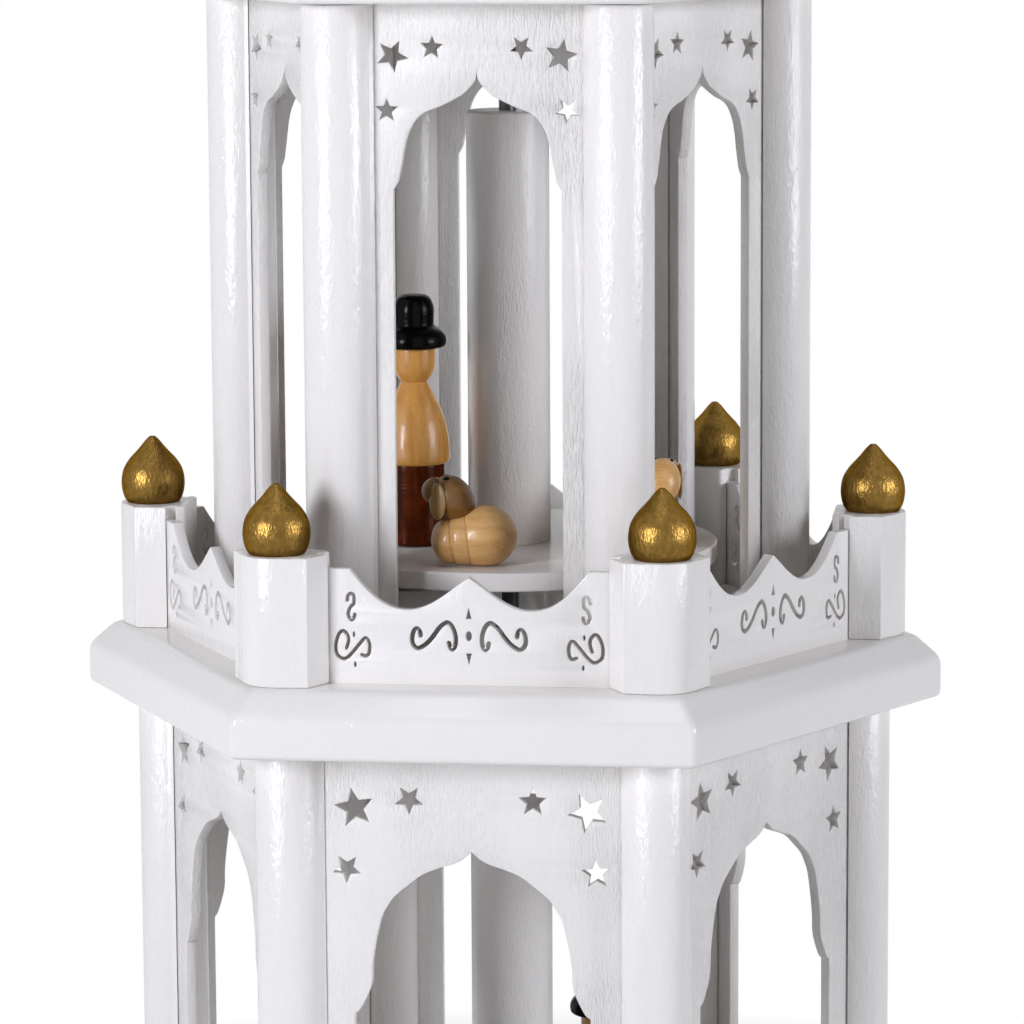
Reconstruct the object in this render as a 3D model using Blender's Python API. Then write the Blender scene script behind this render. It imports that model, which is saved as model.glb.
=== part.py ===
"""A two-storey, six-sided candle carousel, modelled in metres with +Z up.

Boards with cut-out arches stand between round posts on three moulded plates. A balcony with low
fretwork fences and onion finials runs round the middle plate. A shaft on the axis carries two
turntables with turned figures and the wing wheel that warm air from the six candles drives.

The front side faces -Y. Side k is turned by k times 60 degrees about the axis, and corner k lies
half a side further on. Walls, posts, fences, finials and cups are drawn at the front and then
turned into their places.
"""

import math
from typing import NamedTuple

import bmesh
import bpy
from mathutils import Matrix, Vector

# Clearances
SEAT_GAP = 0.0003          # between two pieces that rest on or sit in each other
CUT_OVERRUN = 0.002        # how far a cutter runs past what it cuts

# Plates: radii are measured to the corners of the six-sided outline
BASE_CORNER_RADIUS = 0.142
BASE_THICKNESS = 0.015
BALCONY_CORNER_RADIUS = 0.1014
BALCONY_THICKNESS = 0.015
TOP_CORNER_RADIUS = 0.077
TOP_THICKNESS = 0.012
PLATE_CHAMFER = 0.0052     # the slanted face along the upper edge
PLATE_EASE = 0.0011        # how far each rounded transition takes off
PLATE_CORNER_ROUND = 0.0022
PLATE_CORNER_STEPS = 2
SHAFT_HOLE_RADIUS = 0.004

# Boards that form the walls and the fences
BOARD_THICKNESS = 0.0025
TONGUE_DEPTH = 0.002       # how far a board reaches into the groove of a post

# Lower storey
LOWER_STOREY_HEIGHT = 0.1483
LOWER_WALL_APOTHEM = 0.0728
LOWER_POST_CENTRE_RADIUS = 0.0815
LOWER_ARCH_HALF_WIDTH = 0.0264
LOWER_ARCH_TOP_DROP = 0.0225      # from the upper edge of the wall to the tip of the arch
LOWER_ARCH_SHOULDER_DROP = 0.0374
LOWER_STAR_RADIUS = 0.0045
LOWER_STAR_SPREAD = 0.0260        # from the middle of the wall to the middle of the large star
LOWER_STAR_DROP = 0.0130

# Upper storey
UPPER_STOREY_HEIGHT = 0.1483
UPPER_WALL_APOTHEM = 0.0549
UPPER_POST_CENTRE_RADIUS = 0.0625
UPPER_ARCH_HALF_WIDTH = 0.0187
UPPER_ARCH_TOP_DROP = 0.0152
UPPER_ARCH_SHOULDER_DROP = 0.0256
UPPER_STAR_RADIUS = 0.0036
UPPER_STAR_SPREAD = 0.0187
UPPER_STAR_DROP = 0.0113

# Posts
POST_RADIUS = 0.0078
POST_SEGMENTS = 24
BALCONY_POST_RADIUS = 0.0837      # from the axis to the middle of the post
BALCONY_POST_HEIGHT = 0.0285
BALCONY_POST_HALF_WIDTH = 0.0115
BALCONY_POST_BACK = 0.0092        # from its middle to the flat face inside
BALCONY_POST_EDGE = 0.0038        # from its middle to the two upright edges outside
BALCONY_POST_FRONT = 0.0090       # from its middle to the rounded ridge outside
POST_RIDGE_STEPS = 4
POST_RIDGE_BEND = 1.25             # over 1, the ridge is slimmer than a cosine curve

# Finials
FINIAL_RADIUS = 0.0077
FINIAL_HEIGHT = 0.0152
FINIAL_CENTRE_RADIUS = 0.085
FINIAL_SEGMENTS = 12

# Fences
FENCE_APOTHEM = 0.0743
FENCE_END_HEIGHT = 0.0256
FENCE_PEAK_HEIGHT = 0.0239
FENCE_TROUGH_HEIGHT = 0.0167
FENCE_TROUGH_PLACE = 0.0133       # from the middle of the fence to its lowest places
FENCE_SWEEP_END = 0.0265          # where the rise beside a post ends
FENCE_PEAK_BEND = 1.1
FENCE_SWEEP_BEND = 1.2
FENCE_EDGE_STEPS = 5
SCROLL_CENTRE = 0.00775           # from the middle of the fence to the middle of a scroll
SCROLL_HEIGHT = 0.0110            # of the ornament's middle over the foot of the fence
SCROLL_HALF_LENGTH = 0.0048       # of the centre line, as is its half height
SCROLL_HALF_HEIGHT = 0.00305
SCROLL_SLOT = 0.00095
DOT_HEIGHT = 0.0023
DOT_WIDTH = 0.0014
DART_LENGTH = 0.0026
DART_WIDTH = 0.0013
DART_OFFSET = 0.0051              # from the dot to the middle of each dart
DOT_SIDES = 6

# Rotor
SHAFT_RADIUS = 0.002
SHAFT_TIP_LENGTH = 0.004
UPPER_DISC_RADIUS = 0.0487
LOWER_DISC_RADIUS = 0.0660
DISC_THICKNESS = 0.0043
DISC_EASE = 0.0005
DISC_TOP_HEIGHT = 0.0207          # over the floor of its storey
COLUMN_RADIUS = 0.00965
COLUMN_TOP_DROP = 0.0269          # from the ceiling of its storey to the top of the column
DISC_SEGMENTS = 36

# Bearing that carries the tip of the shaft
BEARING_RADIUS = 0.0075
BEARING_HEIGHT = 0.004
BEARING_WALL = 0.0015
BEARING_FLOOR = 0.001

# Wing wheel
HUB_RADIUS = 0.0175
HUB_HEIGHT = 0.018
HUB_LIFT = 0.0075                 # its underside over the top plate
HUB_BORE_DEPTH = 0.012
HUB_CROWN = 0.004
HUB_SEGMENTS = 32
BLADE_COUNT = 12
BLADE_TIP_RADIUS = 0.140
BLADE_ROOT_RADIUS = 0.036
BLADE_NECK_HALF_WIDTH = 0.0022
BLADE_ROOT_HALF_WIDTH = 0.0070
BLADE_TIP_HALF_WIDTH = 0.0205
BLADE_CORNER = 0.004
BLADE_INSET = 0.003               # how far its neck is glued into the hub
BLADE_THICKNESS = 0.0018
BLADE_PITCH = math.radians(28)

# Candle cups
CUP_SOCKET_RADIUS = 0.0072
CUP_WALL = 0.0012
CUP_HEIGHT = 0.016
CUP_FLOOR = 0.004
CUP_DISH_RADIUS = 0.0135
CUP_DISH_HEIGHT = 0.0045
CUP_FOOT_RADIUS = 0.0095
CUP_SEGMENTS = 16

# Figures
MAN_HEIGHT = 0.0582
MAN_LEG_RADIUS = 0.0070
MAN_BODY_RADIUS = 0.0081
MAN_HEAD_RADIUS = 0.00495
MAN_BRIM_RADIUS = 0.0077
MAN_HAT_RADIUS = 0.0048
MAN_SEGMENTS = 14
UPPER_MAN_PLACE = (-0.0211, -0.0085)
LOWER_MAN_PLACE = (0.0202, 0.0120)
SHEEP_BODY_RADIUS = 0.0070
SHEEP_HEAD_RADIUS = 0.0045
SHEEP_HEAD_HALF_LENGTH = 0.0058
SHEEP_HEAD_PLACE = 0.0074         # ahead of the middle of the body
SHEEP_HEAD_HEIGHT = 0.0149
SHEEP_SNOUT_RADIUS = 0.0031
SHEEP_SNOUT_PLACE = 0.0115
SHEEP_SNOUT_HEIGHT = 0.0168
SHEEP_FLAT = 0.0005               # taken off underneath, so that it stands
SHEEP_BODY_TILT = math.radians(7)
SHEEP_HEAD_TILT = math.radians(60)
SHEEP_SEGMENTS = 12
FRONT_SHEEP_PLACE = (-0.0007, -0.0375)
FRONT_SHEEP_HEADING = math.radians(186)
SIDE_SHEEP_PLACE = (0.0345, -0.0150)
SIDE_SHEEP_HEADING = math.radians(75)

# Shapes as shares, chosen by hand, of the sizes that they follow
LOWER_ARCH_SHARES = (             # of the half width and of the drop from the tip to the shoulder
    (0.077, 0.047), (0.155, 0.074), (0.27, 0.101), (0.41, 0.142), (0.54, 0.211), (0.655, 0.281),
    (0.72, 0.348), (0.769, 0.417), (0.814, 0.553), (0.845, 0.69), (0.86, 0.83), (0.947, 0.965), (1, 1),
)
UPPER_ARCH_SHARES = (
    (0.015, 0.05), (0.042, 0.084), (0.08, 0.117), (0.156, 0.173), (0.286, 0.229), (0.441, 0.284),
    (0.636, 0.341), (0.723, 0.396), (0.804, 0.49), (0.848, 0.584), (0.875, 0.678), (0.903, 0.80),
    (0.94, 0.92), (1, 1),
)
SCROLL_SHARES = (                 # the centre line of the left scroll, to the right and upwards
    (-0.60, -0.02), (-0.65, 0.33), (-0.775, 0.515), (-0.93, 0.30), (-1.0, -0.20), (-0.93, -0.72),
    (-0.72, -0.92), (-0.44, -0.71), (0.236, 0.544), (0.62, 0.97), (0.835, 0.72), (0.98, 0.20),
    (1.0, -0.45), (0.87, -0.96), (0.70, -0.52),
)
STAR_POINTS = 5
STAR_NOTCH_SHARE = 0.45           # inner radius of a star against its outer radius
STAR_SPREAD_SHARES = (1.0, 0.53, 1.07)
STAR_DROP_SHARES = (1.0, 0.84, 2.06)
STAR_RADIUS_SHARES = (1.0, 0.72, 0.73)
CUP_PLACE_SHARE = 0.5636          # of the way from a lower post out to the base's corner
FINIAL_RADIUS_SHARES = (0.87, 0.965, 1.0, 0.94, 0.74, 0.50, 0.30, 0.15)
FINIAL_HEIGHT_SHARES = (0.0, 0.09, 0.27, 0.45, 0.60, 0.71, 0.81, 0.93)
MAN_PROFILE_SHARES = (            # which radius, its share, and the share of the height
    ("hat", 0.71, 1.0), ("hat", 0.98, 0.953), ("hat", 1.0, 0.929), ("hat", 0.97, 0.875),
    ("brim", 0.83, 0.862), ("brim", 1.0, 0.818), ("brim", 0.975, 0.798), ("head", 1.0, 0.784),
    ("head", 1.0, 0.727), ("head", 0.81, 0.675), ("head", 0.65, 0.647), ("body", 0.62, 0.585),
    ("body", 0.84, 0.51), ("body", 0.963, 0.436), ("body", 1.0, 0.358), ("body", 0.94, 0.327),
    ("leg", 1.0, 0.317), ("leg", 1.0, 0.0),
)

SHEEP_BODY_SHARES = (             # of its body's radius, ahead of its middle and outwards
    (-1.0, 0.0), (-0.87, 0.49), (-0.5, 0.866), (0.0, 1.0), (0.45, 0.91), (0.59, 0.85),
    (1.05, 0.82), (1.1, 0.73), (1.17, 0.77), (1.5, 0.65), (1.72, 0.36), (1.8, 0.0),
)

# Turns of the stars of a wall, left and right of its middle, in the order of the shares above
LOWER_STAR_TILTS = (tuple(map(math.radians, (-10, 36, 38))), tuple(map(math.radians, (46, 0, -4))))
UPPER_STAR_TILTS = (tuple(map(math.radians, (27, 3, 1))), tuple(map(math.radians, (11, 36, 40))))

SIDES = 6
SIDE_TURN = math.tau / SIDES
HALF_TURN = SIDE_TURN / 2

# Levels that follow from the sizes
BASE_TOP = BASE_THICKNESS
BALCONY_FOOT = BASE_TOP + LOWER_STOREY_HEIGHT
BALCONY_TOP = BALCONY_FOOT + BALCONY_THICKNESS
TOP_FOOT = BALCONY_TOP + UPPER_STOREY_HEIGHT
TOP_TOP = TOP_FOOT + TOP_THICKNESS
HUB_FOOT = TOP_TOP + HUB_LIFT


class Storey(NamedTuple):
    """The sizes of one storey and the level of its floor."""

    name: str
    floor: float
    height: float
    wall_apothem: float
    post_centre_radius: float
    arch_half_width: float
    arch_top_drop: float
    arch_shoulder_drop: float
    arch_shares: tuple
    star_radius: float
    star_spread: float
    star_drop: float
    star_tilts: tuple


LOWER = Storey("lower", BASE_TOP, LOWER_STOREY_HEIGHT, LOWER_WALL_APOTHEM, LOWER_POST_CENTRE_RADIUS,
               LOWER_ARCH_HALF_WIDTH, LOWER_ARCH_TOP_DROP, LOWER_ARCH_SHOULDER_DROP,
               LOWER_ARCH_SHARES, LOWER_STAR_RADIUS, LOWER_STAR_SPREAD, LOWER_STAR_DROP,
               LOWER_STAR_TILTS)
UPPER = Storey("upper", BALCONY_TOP, UPPER_STOREY_HEIGHT, UPPER_WALL_APOTHEM,
               UPPER_POST_CENTRE_RADIUS, UPPER_ARCH_HALF_WIDTH, UPPER_ARCH_TOP_DROP,
               UPPER_ARCH_SHOULDER_DROP, UPPER_ARCH_SHARES, UPPER_STAR_RADIUS, UPPER_STAR_SPREAD,
               UPPER_STAR_DROP, UPPER_STAR_TILTS)


def cleared_scene():
    """Empties the scene and returns its collection."""
    for old in list(bpy.data.objects):
        bpy.data.objects.remove(old)
    return bpy.context.scene.collection


def material(name, colour, roughness, metallic=0.0, coat=0.0):
    """Returns a Principled material."""
    made = bpy.data.materials.new(name)
    made.use_nodes = True
    shader = made.node_tree.nodes["Principled BSDF"]
    shader.inputs["Base Color"].default_value = (*colour, 1.0)
    shader.inputs["Roughness"].default_value = roughness
    shader.inputs["Metallic"].default_value = metallic
    shader.inputs["Coat Weight"].default_value = coat
    return made


SCENE = cleared_scene()
LACQUER = material("white_lacquer", (0.86, 0.86, 0.87), 0.28, coat=0.3)
GOLD = material("gold_paint", (0.52, 0.36, 0.12), 0.38, metallic=0.85)
STEEL = material("shaft_steel", (0.23, 0.23, 0.24), 0.35, metallic=1.0)
WOOD = material("turned_wood", (0.66, 0.42, 0.21), 0.42, coat=0.2)
GLASS = material("bearing_glass", (0.75, 0.80, 0.82), 0.08)
BRASS = material("cup_brass", (0.68, 0.49, 0.19), 0.30, metallic=1.0)


def node(name, mesh, slot):
    """Adds a mesh to the scene as a named piece with its material."""
    made = bpy.data.objects.new(name, mesh)
    SCENE.objects.link(made)
    if not mesh.materials:
        mesh.materials.append(slot)
    return made


def helper(name, mesh):
    """Adds a mesh that only cuts or joins, and that no render shows."""
    made = bpy.data.objects.new(name, mesh)
    SCENE.objects.link(made)
    made.hide_render = True
    made.display_type = "WIRE"
    return made


def combine(piece, other, operation):
    """Cuts or joins another object with an exact Boolean."""
    modifier = piece.modifiers.new(other.name, "BOOLEAN")
    modifier.object = other
    modifier.operation = operation
    return piece


def baked(piece):
    """Returns the mesh of an object as its modifiers leave it, and removes the object."""
    graph = bpy.context.evaluated_depsgraph_get()
    mesh = bpy.data.meshes.new_from_object(piece.evaluated_get(graph))
    bpy.data.objects.remove(piece)
    return mesh


def smooth_rounds(mesh, angle=math.radians(35)):
    """Shades the round faces smooth and keeps sharp edges sharp."""
    mesh.shade_smooth()
    mesh.set_sharp_from_angle(angle=angle)
    return mesh


def board(name, outline, holes, thickness):
    """Returns the mesh of a flat board: an outline in x and y with holes, thick along z."""
    curve = bpy.data.curves.new(name, "CURVE")
    curve.dimensions = "2D"
    curve.fill_mode = "BOTH"
    curve.extrude = thickness / 2
    for loop in (outline, *holes):
        spline = curve.splines.new("POLY")
        spline.points.add(len(loop) - 1)
        for point, (x, y) in zip(spline.points, loop):
            point.co = (x, y, 0, 1)
        spline.use_cyclic_u = True
    mesh = baked(helper(name, curve))
    shell = bmesh.new()
    shell.from_mesh(mesh)
    bmesh.ops.remove_doubles(shell, verts=shell.verts, dist=SEAT_GAP / 100)
    bmesh.ops.recalc_face_normals(shell, faces=shell.faces)
    shell.to_mesh(mesh)
    shell.free()
    return mesh


def turned(name, profile, segments, closed=False):
    """Returns the mesh of a profile of (radius, height) turned about the axis, listed top down.

    An open profile starts and ends on the axis. A closed one goes round and leaves a bore.
    """
    mesh = bpy.data.meshes.new(name)
    points = [(radius, 0, height) for radius, height in profile]
    edges = [(k, k + 1) for k in range(len(points) - 1)]
    if closed:
        edges.append((len(points) - 1, 0))
    mesh.from_pydata(points, edges, [])
    lathe = helper(name, mesh)
    screw = lathe.modifiers.new("turn", "SCREW")
    screw.steps = segments
    screw.render_steps = segments
    screw.use_merge_vertices = True
    screw.merge_threshold = SEAT_GAP / 100
    return smooth_rounds(baked(lathe))


def block(name, low, high):
    """Returns the mesh of an upright box between two corners."""
    shell = bmesh.new()
    bmesh.ops.create_cube(shell, size=1)
    size = Vector(high) - Vector(low)
    middle = (Vector(high) + Vector(low)) / 2
    matrix = Matrix.Translation(middle) @ Matrix.Diagonal((*size, 1))
    bmesh.ops.transform(shell, matrix=matrix, verts=shell.verts)
    mesh = bpy.data.meshes.new(name)
    shell.to_mesh(mesh)
    shell.free()
    return mesh


def around(name, mesh, slot, first_turn, place=Vector()):
    """Stands six copies of a piece round the axis, the first one turned by first_turn."""
    made = []
    for k in range(SIDES):
        piece = node(f"{name}_{k + 1}", mesh, slot)
        turn = Matrix.Rotation(first_turn + k * SIDE_TURN, 4, "Z")
        piece.matrix_world = turn @ Matrix.Translation(place)
        made.append(piece)
    return made


def hexagon(corner_radius, inset, round_radius):
    """Returns a six-sided outline, its sides moved in by inset and its corners rounded."""
    reach = corner_radius - (inset + round_radius) / math.cos(HALF_TURN)
    points = []
    for k in range(SIDES):
        turn = HALF_TURN + k * SIDE_TURN
        for step in range(PLATE_CORNER_STEPS + 1):
            bend = turn - HALF_TURN + SIDE_TURN * step / PLATE_CORNER_STEPS
            x = reach * math.sin(turn) + round_radius * math.sin(bend)
            y = -reach * math.cos(turn) - round_radius * math.cos(bend)
            points.append((x, y))
    return points


def moulded_plate(name, corner_radius, thickness, foot, bored):
    """Makes a six-sided plate with a slanted upper edge and eased transitions."""
    slant = PLATE_CHAMFER
    ease = PLATE_EASE
    levels = (
        (ease, 0),
        (0, ease),
        (0, thickness - slant - ease),
        (ease / 2, thickness - slant),
        (slant, thickness - ease / 2),
        (slant + ease, thickness),
    )
    shell = bmesh.new()
    rings = []
    for inset, height in levels:
        outline = hexagon(corner_radius, inset, PLATE_CORNER_ROUND)
        rings.append([shell.verts.new((x, y, foot + height)) for x, y in outline])
    for low, high in zip(rings, rings[1:]):
        for k in range(len(low)):
            after = (k + 1) % len(low)
            shell.faces.new((low[k], low[after], high[after], high[k]))
    shell.faces.new(list(reversed(rings[0])))
    shell.faces.new(rings[-1])
    mesh = bpy.data.meshes.new(name)
    shell.to_mesh(mesh)
    shell.free()
    plate = node(name, smooth_rounds(mesh, math.radians(25)), LACQUER)
    if bored:
        top = foot + thickness + CUT_OVERRUN
        low = foot - CUT_OVERRUN
        bore = [(0, top), (SHAFT_HOLE_RADIUS, top), (SHAFT_HOLE_RADIUS, low), (0, low)]
        mesh = turned(f"{name}_bore", bore, HUB_SEGMENTS // 2)
        combine(plate, helper(f"{name}_bore", mesh), "DIFFERENCE")
    return plate


def star(x, y, radius, tilt):
    """Returns a five-pointed star outline, turned clockwise by tilt."""
    points = []
    corners = 2 * STAR_POINTS
    for k in range(corners):
        reach = radius * (STAR_NOTCH_SHARE if k % 2 else 1)
        turn = tilt + k * math.tau / corners
        points.append((x + reach * math.sin(turn), y + reach * math.cos(turn)))
    return points


def arch(storey, tip):
    """Returns the left half of an ogee arch, from its tip down to the floor."""
    half = [(0, tip)]
    for width_share, drop_share in storey.arch_shares:
        x = -storey.arch_half_width * width_share
        half.append((x, tip - storey.arch_shoulder_drop * drop_share))
    half.append((-storey.arch_half_width, 0))
    return half


def wall_board(storey):
    """Returns the mesh of one wall: a board with an arch open at the foot and six stars."""
    height = storey.height - 2 * SEAT_GAP
    half_width = wall_half_width(storey.wall_apothem, storey.post_centre_radius)
    half = arch(storey, height - storey.arch_top_drop)
    right = [(-x, y) for x, y in reversed(half[1:])]
    outline = [(-half_width, 0), (-half_width, height), (half_width, height), (half_width, 0)]
    outline += right + half
    holes = []
    for side, tilts in zip((-1, 1), storey.star_tilts):
        for k, tilt in enumerate(tilts):
            x = side * storey.star_spread * STAR_SPREAD_SHARES[k]
            y = height - storey.star_drop * STAR_DROP_SHARES[k]
            holes.append(star(x, y, storey.star_radius * STAR_RADIUS_SHARES[k], tilt))
    mesh = board(f"{storey.name}_arch", outline, holes, BOARD_THICKNESS)
    return upright(mesh, storey.wall_apothem)


def upright(mesh, apothem):
    """Stands a flat board on its lower edge, with its outer face at the apothem."""
    place = Matrix.Translation((0, BOARD_THICKNESS / 2 - apothem, 0))
    mesh.transform(place @ Matrix.Rotation(math.pi / 2, 4, "X"))
    return mesh


def wall_half_width(apothem, post_centre_radius):
    """Half the width of a wall board, with the tongues that enter the grooves of the posts."""
    across = post_centre_radius * math.sin(HALF_TURN)
    ahead = apothem - post_centre_radius * math.cos(HALF_TURN)
    return across - math.sqrt(POST_RADIUS ** 2 - ahead ** 2) + TONGUE_DEPTH


def groove_cutters(name, half_width, apothem, height):
    """Makes the two cutters that leave room in a corner post for the boards beside it."""
    reach = half_width + SEAT_GAP
    outer = apothem + SEAT_GAP
    inner = apothem - BOARD_THICKNESS - SEAT_GAP
    low = (-reach, -outer, -CUT_OVERRUN)
    high = (reach, -inner, height + CUT_OVERRUN)
    cutters = []
    for side in (-1, 1):
        cutter = helper(f"{name}_{'left' if side < 0 else 'right'}", block(name, low, high))
        cutter.matrix_world = Matrix.Rotation(side * HALF_TURN, 4, "Z")
        cutters.append(cutter)
    return cutters


def grooved(name, post, half_width, apothem, height):
    """Returns the mesh of a corner post with a groove for each neighbouring board."""
    cutters = groove_cutters(f"{name}_groove", half_width, apothem, height)
    for cutter in cutters:
        combine(post, cutter, "DIFFERENCE")
    mesh = baked(post)
    for cutter in cutters:
        bpy.data.objects.remove(cutter)
    return mesh


def round_post(storey):
    """Returns the mesh of a round corner post with its two grooves."""
    name = f"{storey.name}_post"
    height = storey.height - 2 * SEAT_GAP
    shell = bmesh.new()
    bmesh.ops.create_cone(shell, cap_ends=True, segments=POST_SEGMENTS, radius1=POST_RADIUS,
                          radius2=POST_RADIUS, depth=height)
    bmesh.ops.translate(shell, verts=shell.verts, vec=(0, -storey.post_centre_radius, height / 2))
    mesh = bpy.data.meshes.new(name)
    shell.to_mesh(mesh)
    shell.free()
    half_width = wall_half_width(storey.wall_apothem, storey.post_centre_radius)
    return smooth_rounds(grooved(name, helper(name, mesh), half_width, storey.wall_apothem, height))


def walls_and_posts(storey):
    """Stands six walls and six round posts on the floor of a storey."""
    seat = Vector((0, 0, storey.floor + SEAT_GAP))
    around(f"{storey.name}_arch", wall_board(storey), LACQUER, 0, seat)
    around(f"{storey.name}_post", round_post(storey), LACQUER, HALF_TURN, seat)


def fence_half_width():
    """Half the length of a fence, with the tongues that enter the slots of the balcony posts."""
    face = BALCONY_POST_HALF_WIDTH
    along = (FENCE_APOTHEM - face * math.sin(HALF_TURN)) / math.cos(HALF_TURN)
    return along * math.sin(HALF_TURN) - face * math.cos(HALF_TURN) + TONGUE_DEPTH


def fence_edge():
    """Returns the upper edge of a fence from its right end to its left end."""
    peak, trough, end = FENCE_PEAK_HEIGHT, FENCE_TROUGH_HEIGHT, FENCE_END_HEIGHT
    half = []
    for k in range(FENCE_EDGE_STEPS + 1):
        share = k / FENCE_EDGE_STEPS
        fall = math.sin(share ** FENCE_PEAK_BEND * math.pi / 2)
        half.append((FENCE_TROUGH_PLACE * share, trough + (peak - trough) * (1 - fall)))
    for k in range(1, FENCE_EDGE_STEPS + 1):
        share = k / FENCE_EDGE_STEPS
        x = FENCE_TROUGH_PLACE + (FENCE_SWEEP_END - FENCE_TROUGH_PLACE) * share
        rise = (1 - math.cos(share * math.pi / 2)) ** FENCE_SWEEP_BEND
        half.append((x, trough + (end - trough) * rise))
    half.append((fence_half_width(), end))
    return list(reversed(half)) + [(-x, y) for x, y in half[1:]]


def scroll(side):
    """Returns the outline of an S-shaped slot to one side of the fence's middle."""
    line = []
    for x, y in SCROLL_SHARES:
        across = side * (SCROLL_CENTRE - SCROLL_HALF_LENGTH * x)
        line.append(Vector((across, SCROLL_HEIGHT + SCROLL_HALF_HEIGHT * y)))
    left, right = [], []
    for k, point in enumerate(line):
        before = line[max(k - 1, 0)]
        after = line[min(k + 1, len(line) - 1)]
        along = ((point - before).normalized() + (after - point).normalized()).normalized()
        across = Vector((-along.y, along.x)) * SCROLL_SLOT / 2
        left.append((point + across)[:])
        right.append((point - across)[:])
    return left + list(reversed(right))


def dart(direction):
    """Returns a slim triangle above or below the fence's middle dot, pointing away from it."""
    middle = SCROLL_HEIGHT + direction * DART_OFFSET
    foot = middle - direction * DART_LENGTH / 2
    return [(-DART_WIDTH / 2, foot), (DART_WIDTH / 2, foot), (0, foot + direction * DART_LENGTH)]


def dot():
    """Returns the small oval in the middle of a fence."""
    points = []
    for k in range(DOT_SIDES):
        turn = k * math.tau / DOT_SIDES
        x = DOT_WIDTH / 2 * math.sin(turn)
        points.append((x, SCROLL_HEIGHT + DOT_HEIGHT / 2 * math.cos(turn)))
    return points


def fences():
    """Stands the six fretwork fences between the balcony posts."""
    half_width = fence_half_width()
    outline = fence_edge() + [(-half_width, 0), (half_width, 0)]
    holes = [scroll(-1), scroll(1), dart(1), dart(-1), dot()]
    mesh = upright(board("fence", outline, holes, BOARD_THICKNESS), FENCE_APOTHEM)
    around("fence", mesh, LACQUER, 0, Vector((0, 0, BALCONY_TOP + SEAT_GAP)))


def balcony_posts():
    """Stands the six posts that hold the fences, each with a rounded ridge outside."""
    half = BALCONY_POST_HALF_WIDTH
    rise = BALCONY_POST_FRONT - BALCONY_POST_EDGE
    ridge = []
    for k in range(-POST_RIDGE_STEPS, POST_RIDGE_STEPS + 1):
        share = k / POST_RIDGE_STEPS
        bulge = math.cos(share * math.pi / 2) ** POST_RIDGE_BEND
        ridge.append((half * share, BALCONY_POST_EDGE + rise * bulge))
    section = [(half, -BALCONY_POST_BACK), *reversed(ridge), (-half, -BALCONY_POST_BACK)]
    outline = [(x, -BALCONY_POST_RADIUS - out) for x, out in reversed(section)]
    mesh = board("balcony_post", outline, [], BALCONY_POST_HEIGHT)
    mesh.transform(Matrix.Translation((0, 0, BALCONY_POST_HEIGHT / 2)))
    post = helper("balcony_post", mesh)
    reach = fence_half_width()
    mesh = grooved("balcony_post", post, reach, FENCE_APOTHEM, BALCONY_POST_HEIGHT)
    smooth_rounds(mesh, math.radians(20))
    around("balcony_post", mesh, LACQUER, HALF_TURN, Vector((0, 0, BALCONY_TOP + SEAT_GAP)))


def finials():
    """Sets an onion finial on each balcony post."""
    profile = [(0, FINIAL_HEIGHT)]
    shares = zip(FINIAL_RADIUS_SHARES, FINIAL_HEIGHT_SHARES)
    for radius_share, height_share in reversed(list(shares)):
        profile.append((FINIAL_RADIUS * radius_share, FINIAL_HEIGHT * height_share))
    profile.append((0, 0))
    mesh = turned("finial", profile, FINIAL_SEGMENTS)
    height = BALCONY_TOP + BALCONY_POST_HEIGHT + 2 * SEAT_GAP
    around("finial", mesh, GOLD, HALF_TURN, Vector((0, -FINIAL_CENTRE_RADIUS, height)))


def shaft():
    """Makes the steel rod on the axis, pointed where it stands in the bearing."""
    low = BASE_TOP + SEAT_GAP + BEARING_FLOOR + SEAT_GAP
    high = HUB_FOOT + HUB_BORE_DEPTH - SEAT_GAP
    profile = [(0, high), (SHAFT_RADIUS, high), (SHAFT_RADIUS, low + SHAFT_TIP_LENGTH), (0, low)]
    node("shaft", turned("shaft", profile, HUB_SEGMENTS // 2), STEEL)


def bearing():
    """Makes the glass cup in which the shaft's point turns."""
    inner = BEARING_RADIUS - BEARING_WALL
    profile = [
        (0, BEARING_FLOOR),
        (inner, BEARING_HEIGHT),
        (BEARING_RADIUS, BEARING_HEIGHT),
        (BEARING_RADIUS, 0),
        (0, 0),
    ]
    piece = node("bearing_cup", turned("bearing_cup", profile, CUP_SEGMENTS), GLASS)
    piece.location.z = BASE_TOP + SEAT_GAP


def turntable(name, disc_radius, floor, ceiling):
    """Makes a disc with its column, bored for the shaft."""
    bore = SHAFT_RADIUS + SEAT_GAP
    top = floor + DISC_TOP_HEIGHT
    low = top - DISC_THICKNESS
    column_top = ceiling - COLUMN_TOP_DROP
    profile = [
        (bore, column_top),
        (COLUMN_RADIUS, column_top),
        (COLUMN_RADIUS, top),
        (disc_radius - DISC_EASE, top),
        (disc_radius, top - DISC_EASE),
        (disc_radius, low),
        (bore, low),
    ]
    node(name, turned(name, profile, DISC_SEGMENTS, closed=True), LACQUER)


def blade_mesh():
    """Returns the mesh of one flat blade, pitched about its own length, pointing to +X."""
    inner = HUB_RADIUS - BLADE_INSET
    corner = BLADE_CORNER
    half = [
        (inner, BLADE_NECK_HALF_WIDTH),
        (BLADE_ROOT_RADIUS, BLADE_NECK_HALF_WIDTH),
        (BLADE_ROOT_RADIUS + corner, BLADE_ROOT_HALF_WIDTH),
        (BLADE_TIP_RADIUS - corner, BLADE_TIP_HALF_WIDTH),
        (BLADE_TIP_RADIUS, BLADE_TIP_HALF_WIDTH - corner),
    ]
    outline = half + [(x, -y) for x, y in reversed(half)]
    mesh = board("blade", outline, [], BLADE_THICKNESS)
    mesh.transform(Matrix.Rotation(BLADE_PITCH, 4, "X"))
    return mesh


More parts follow.
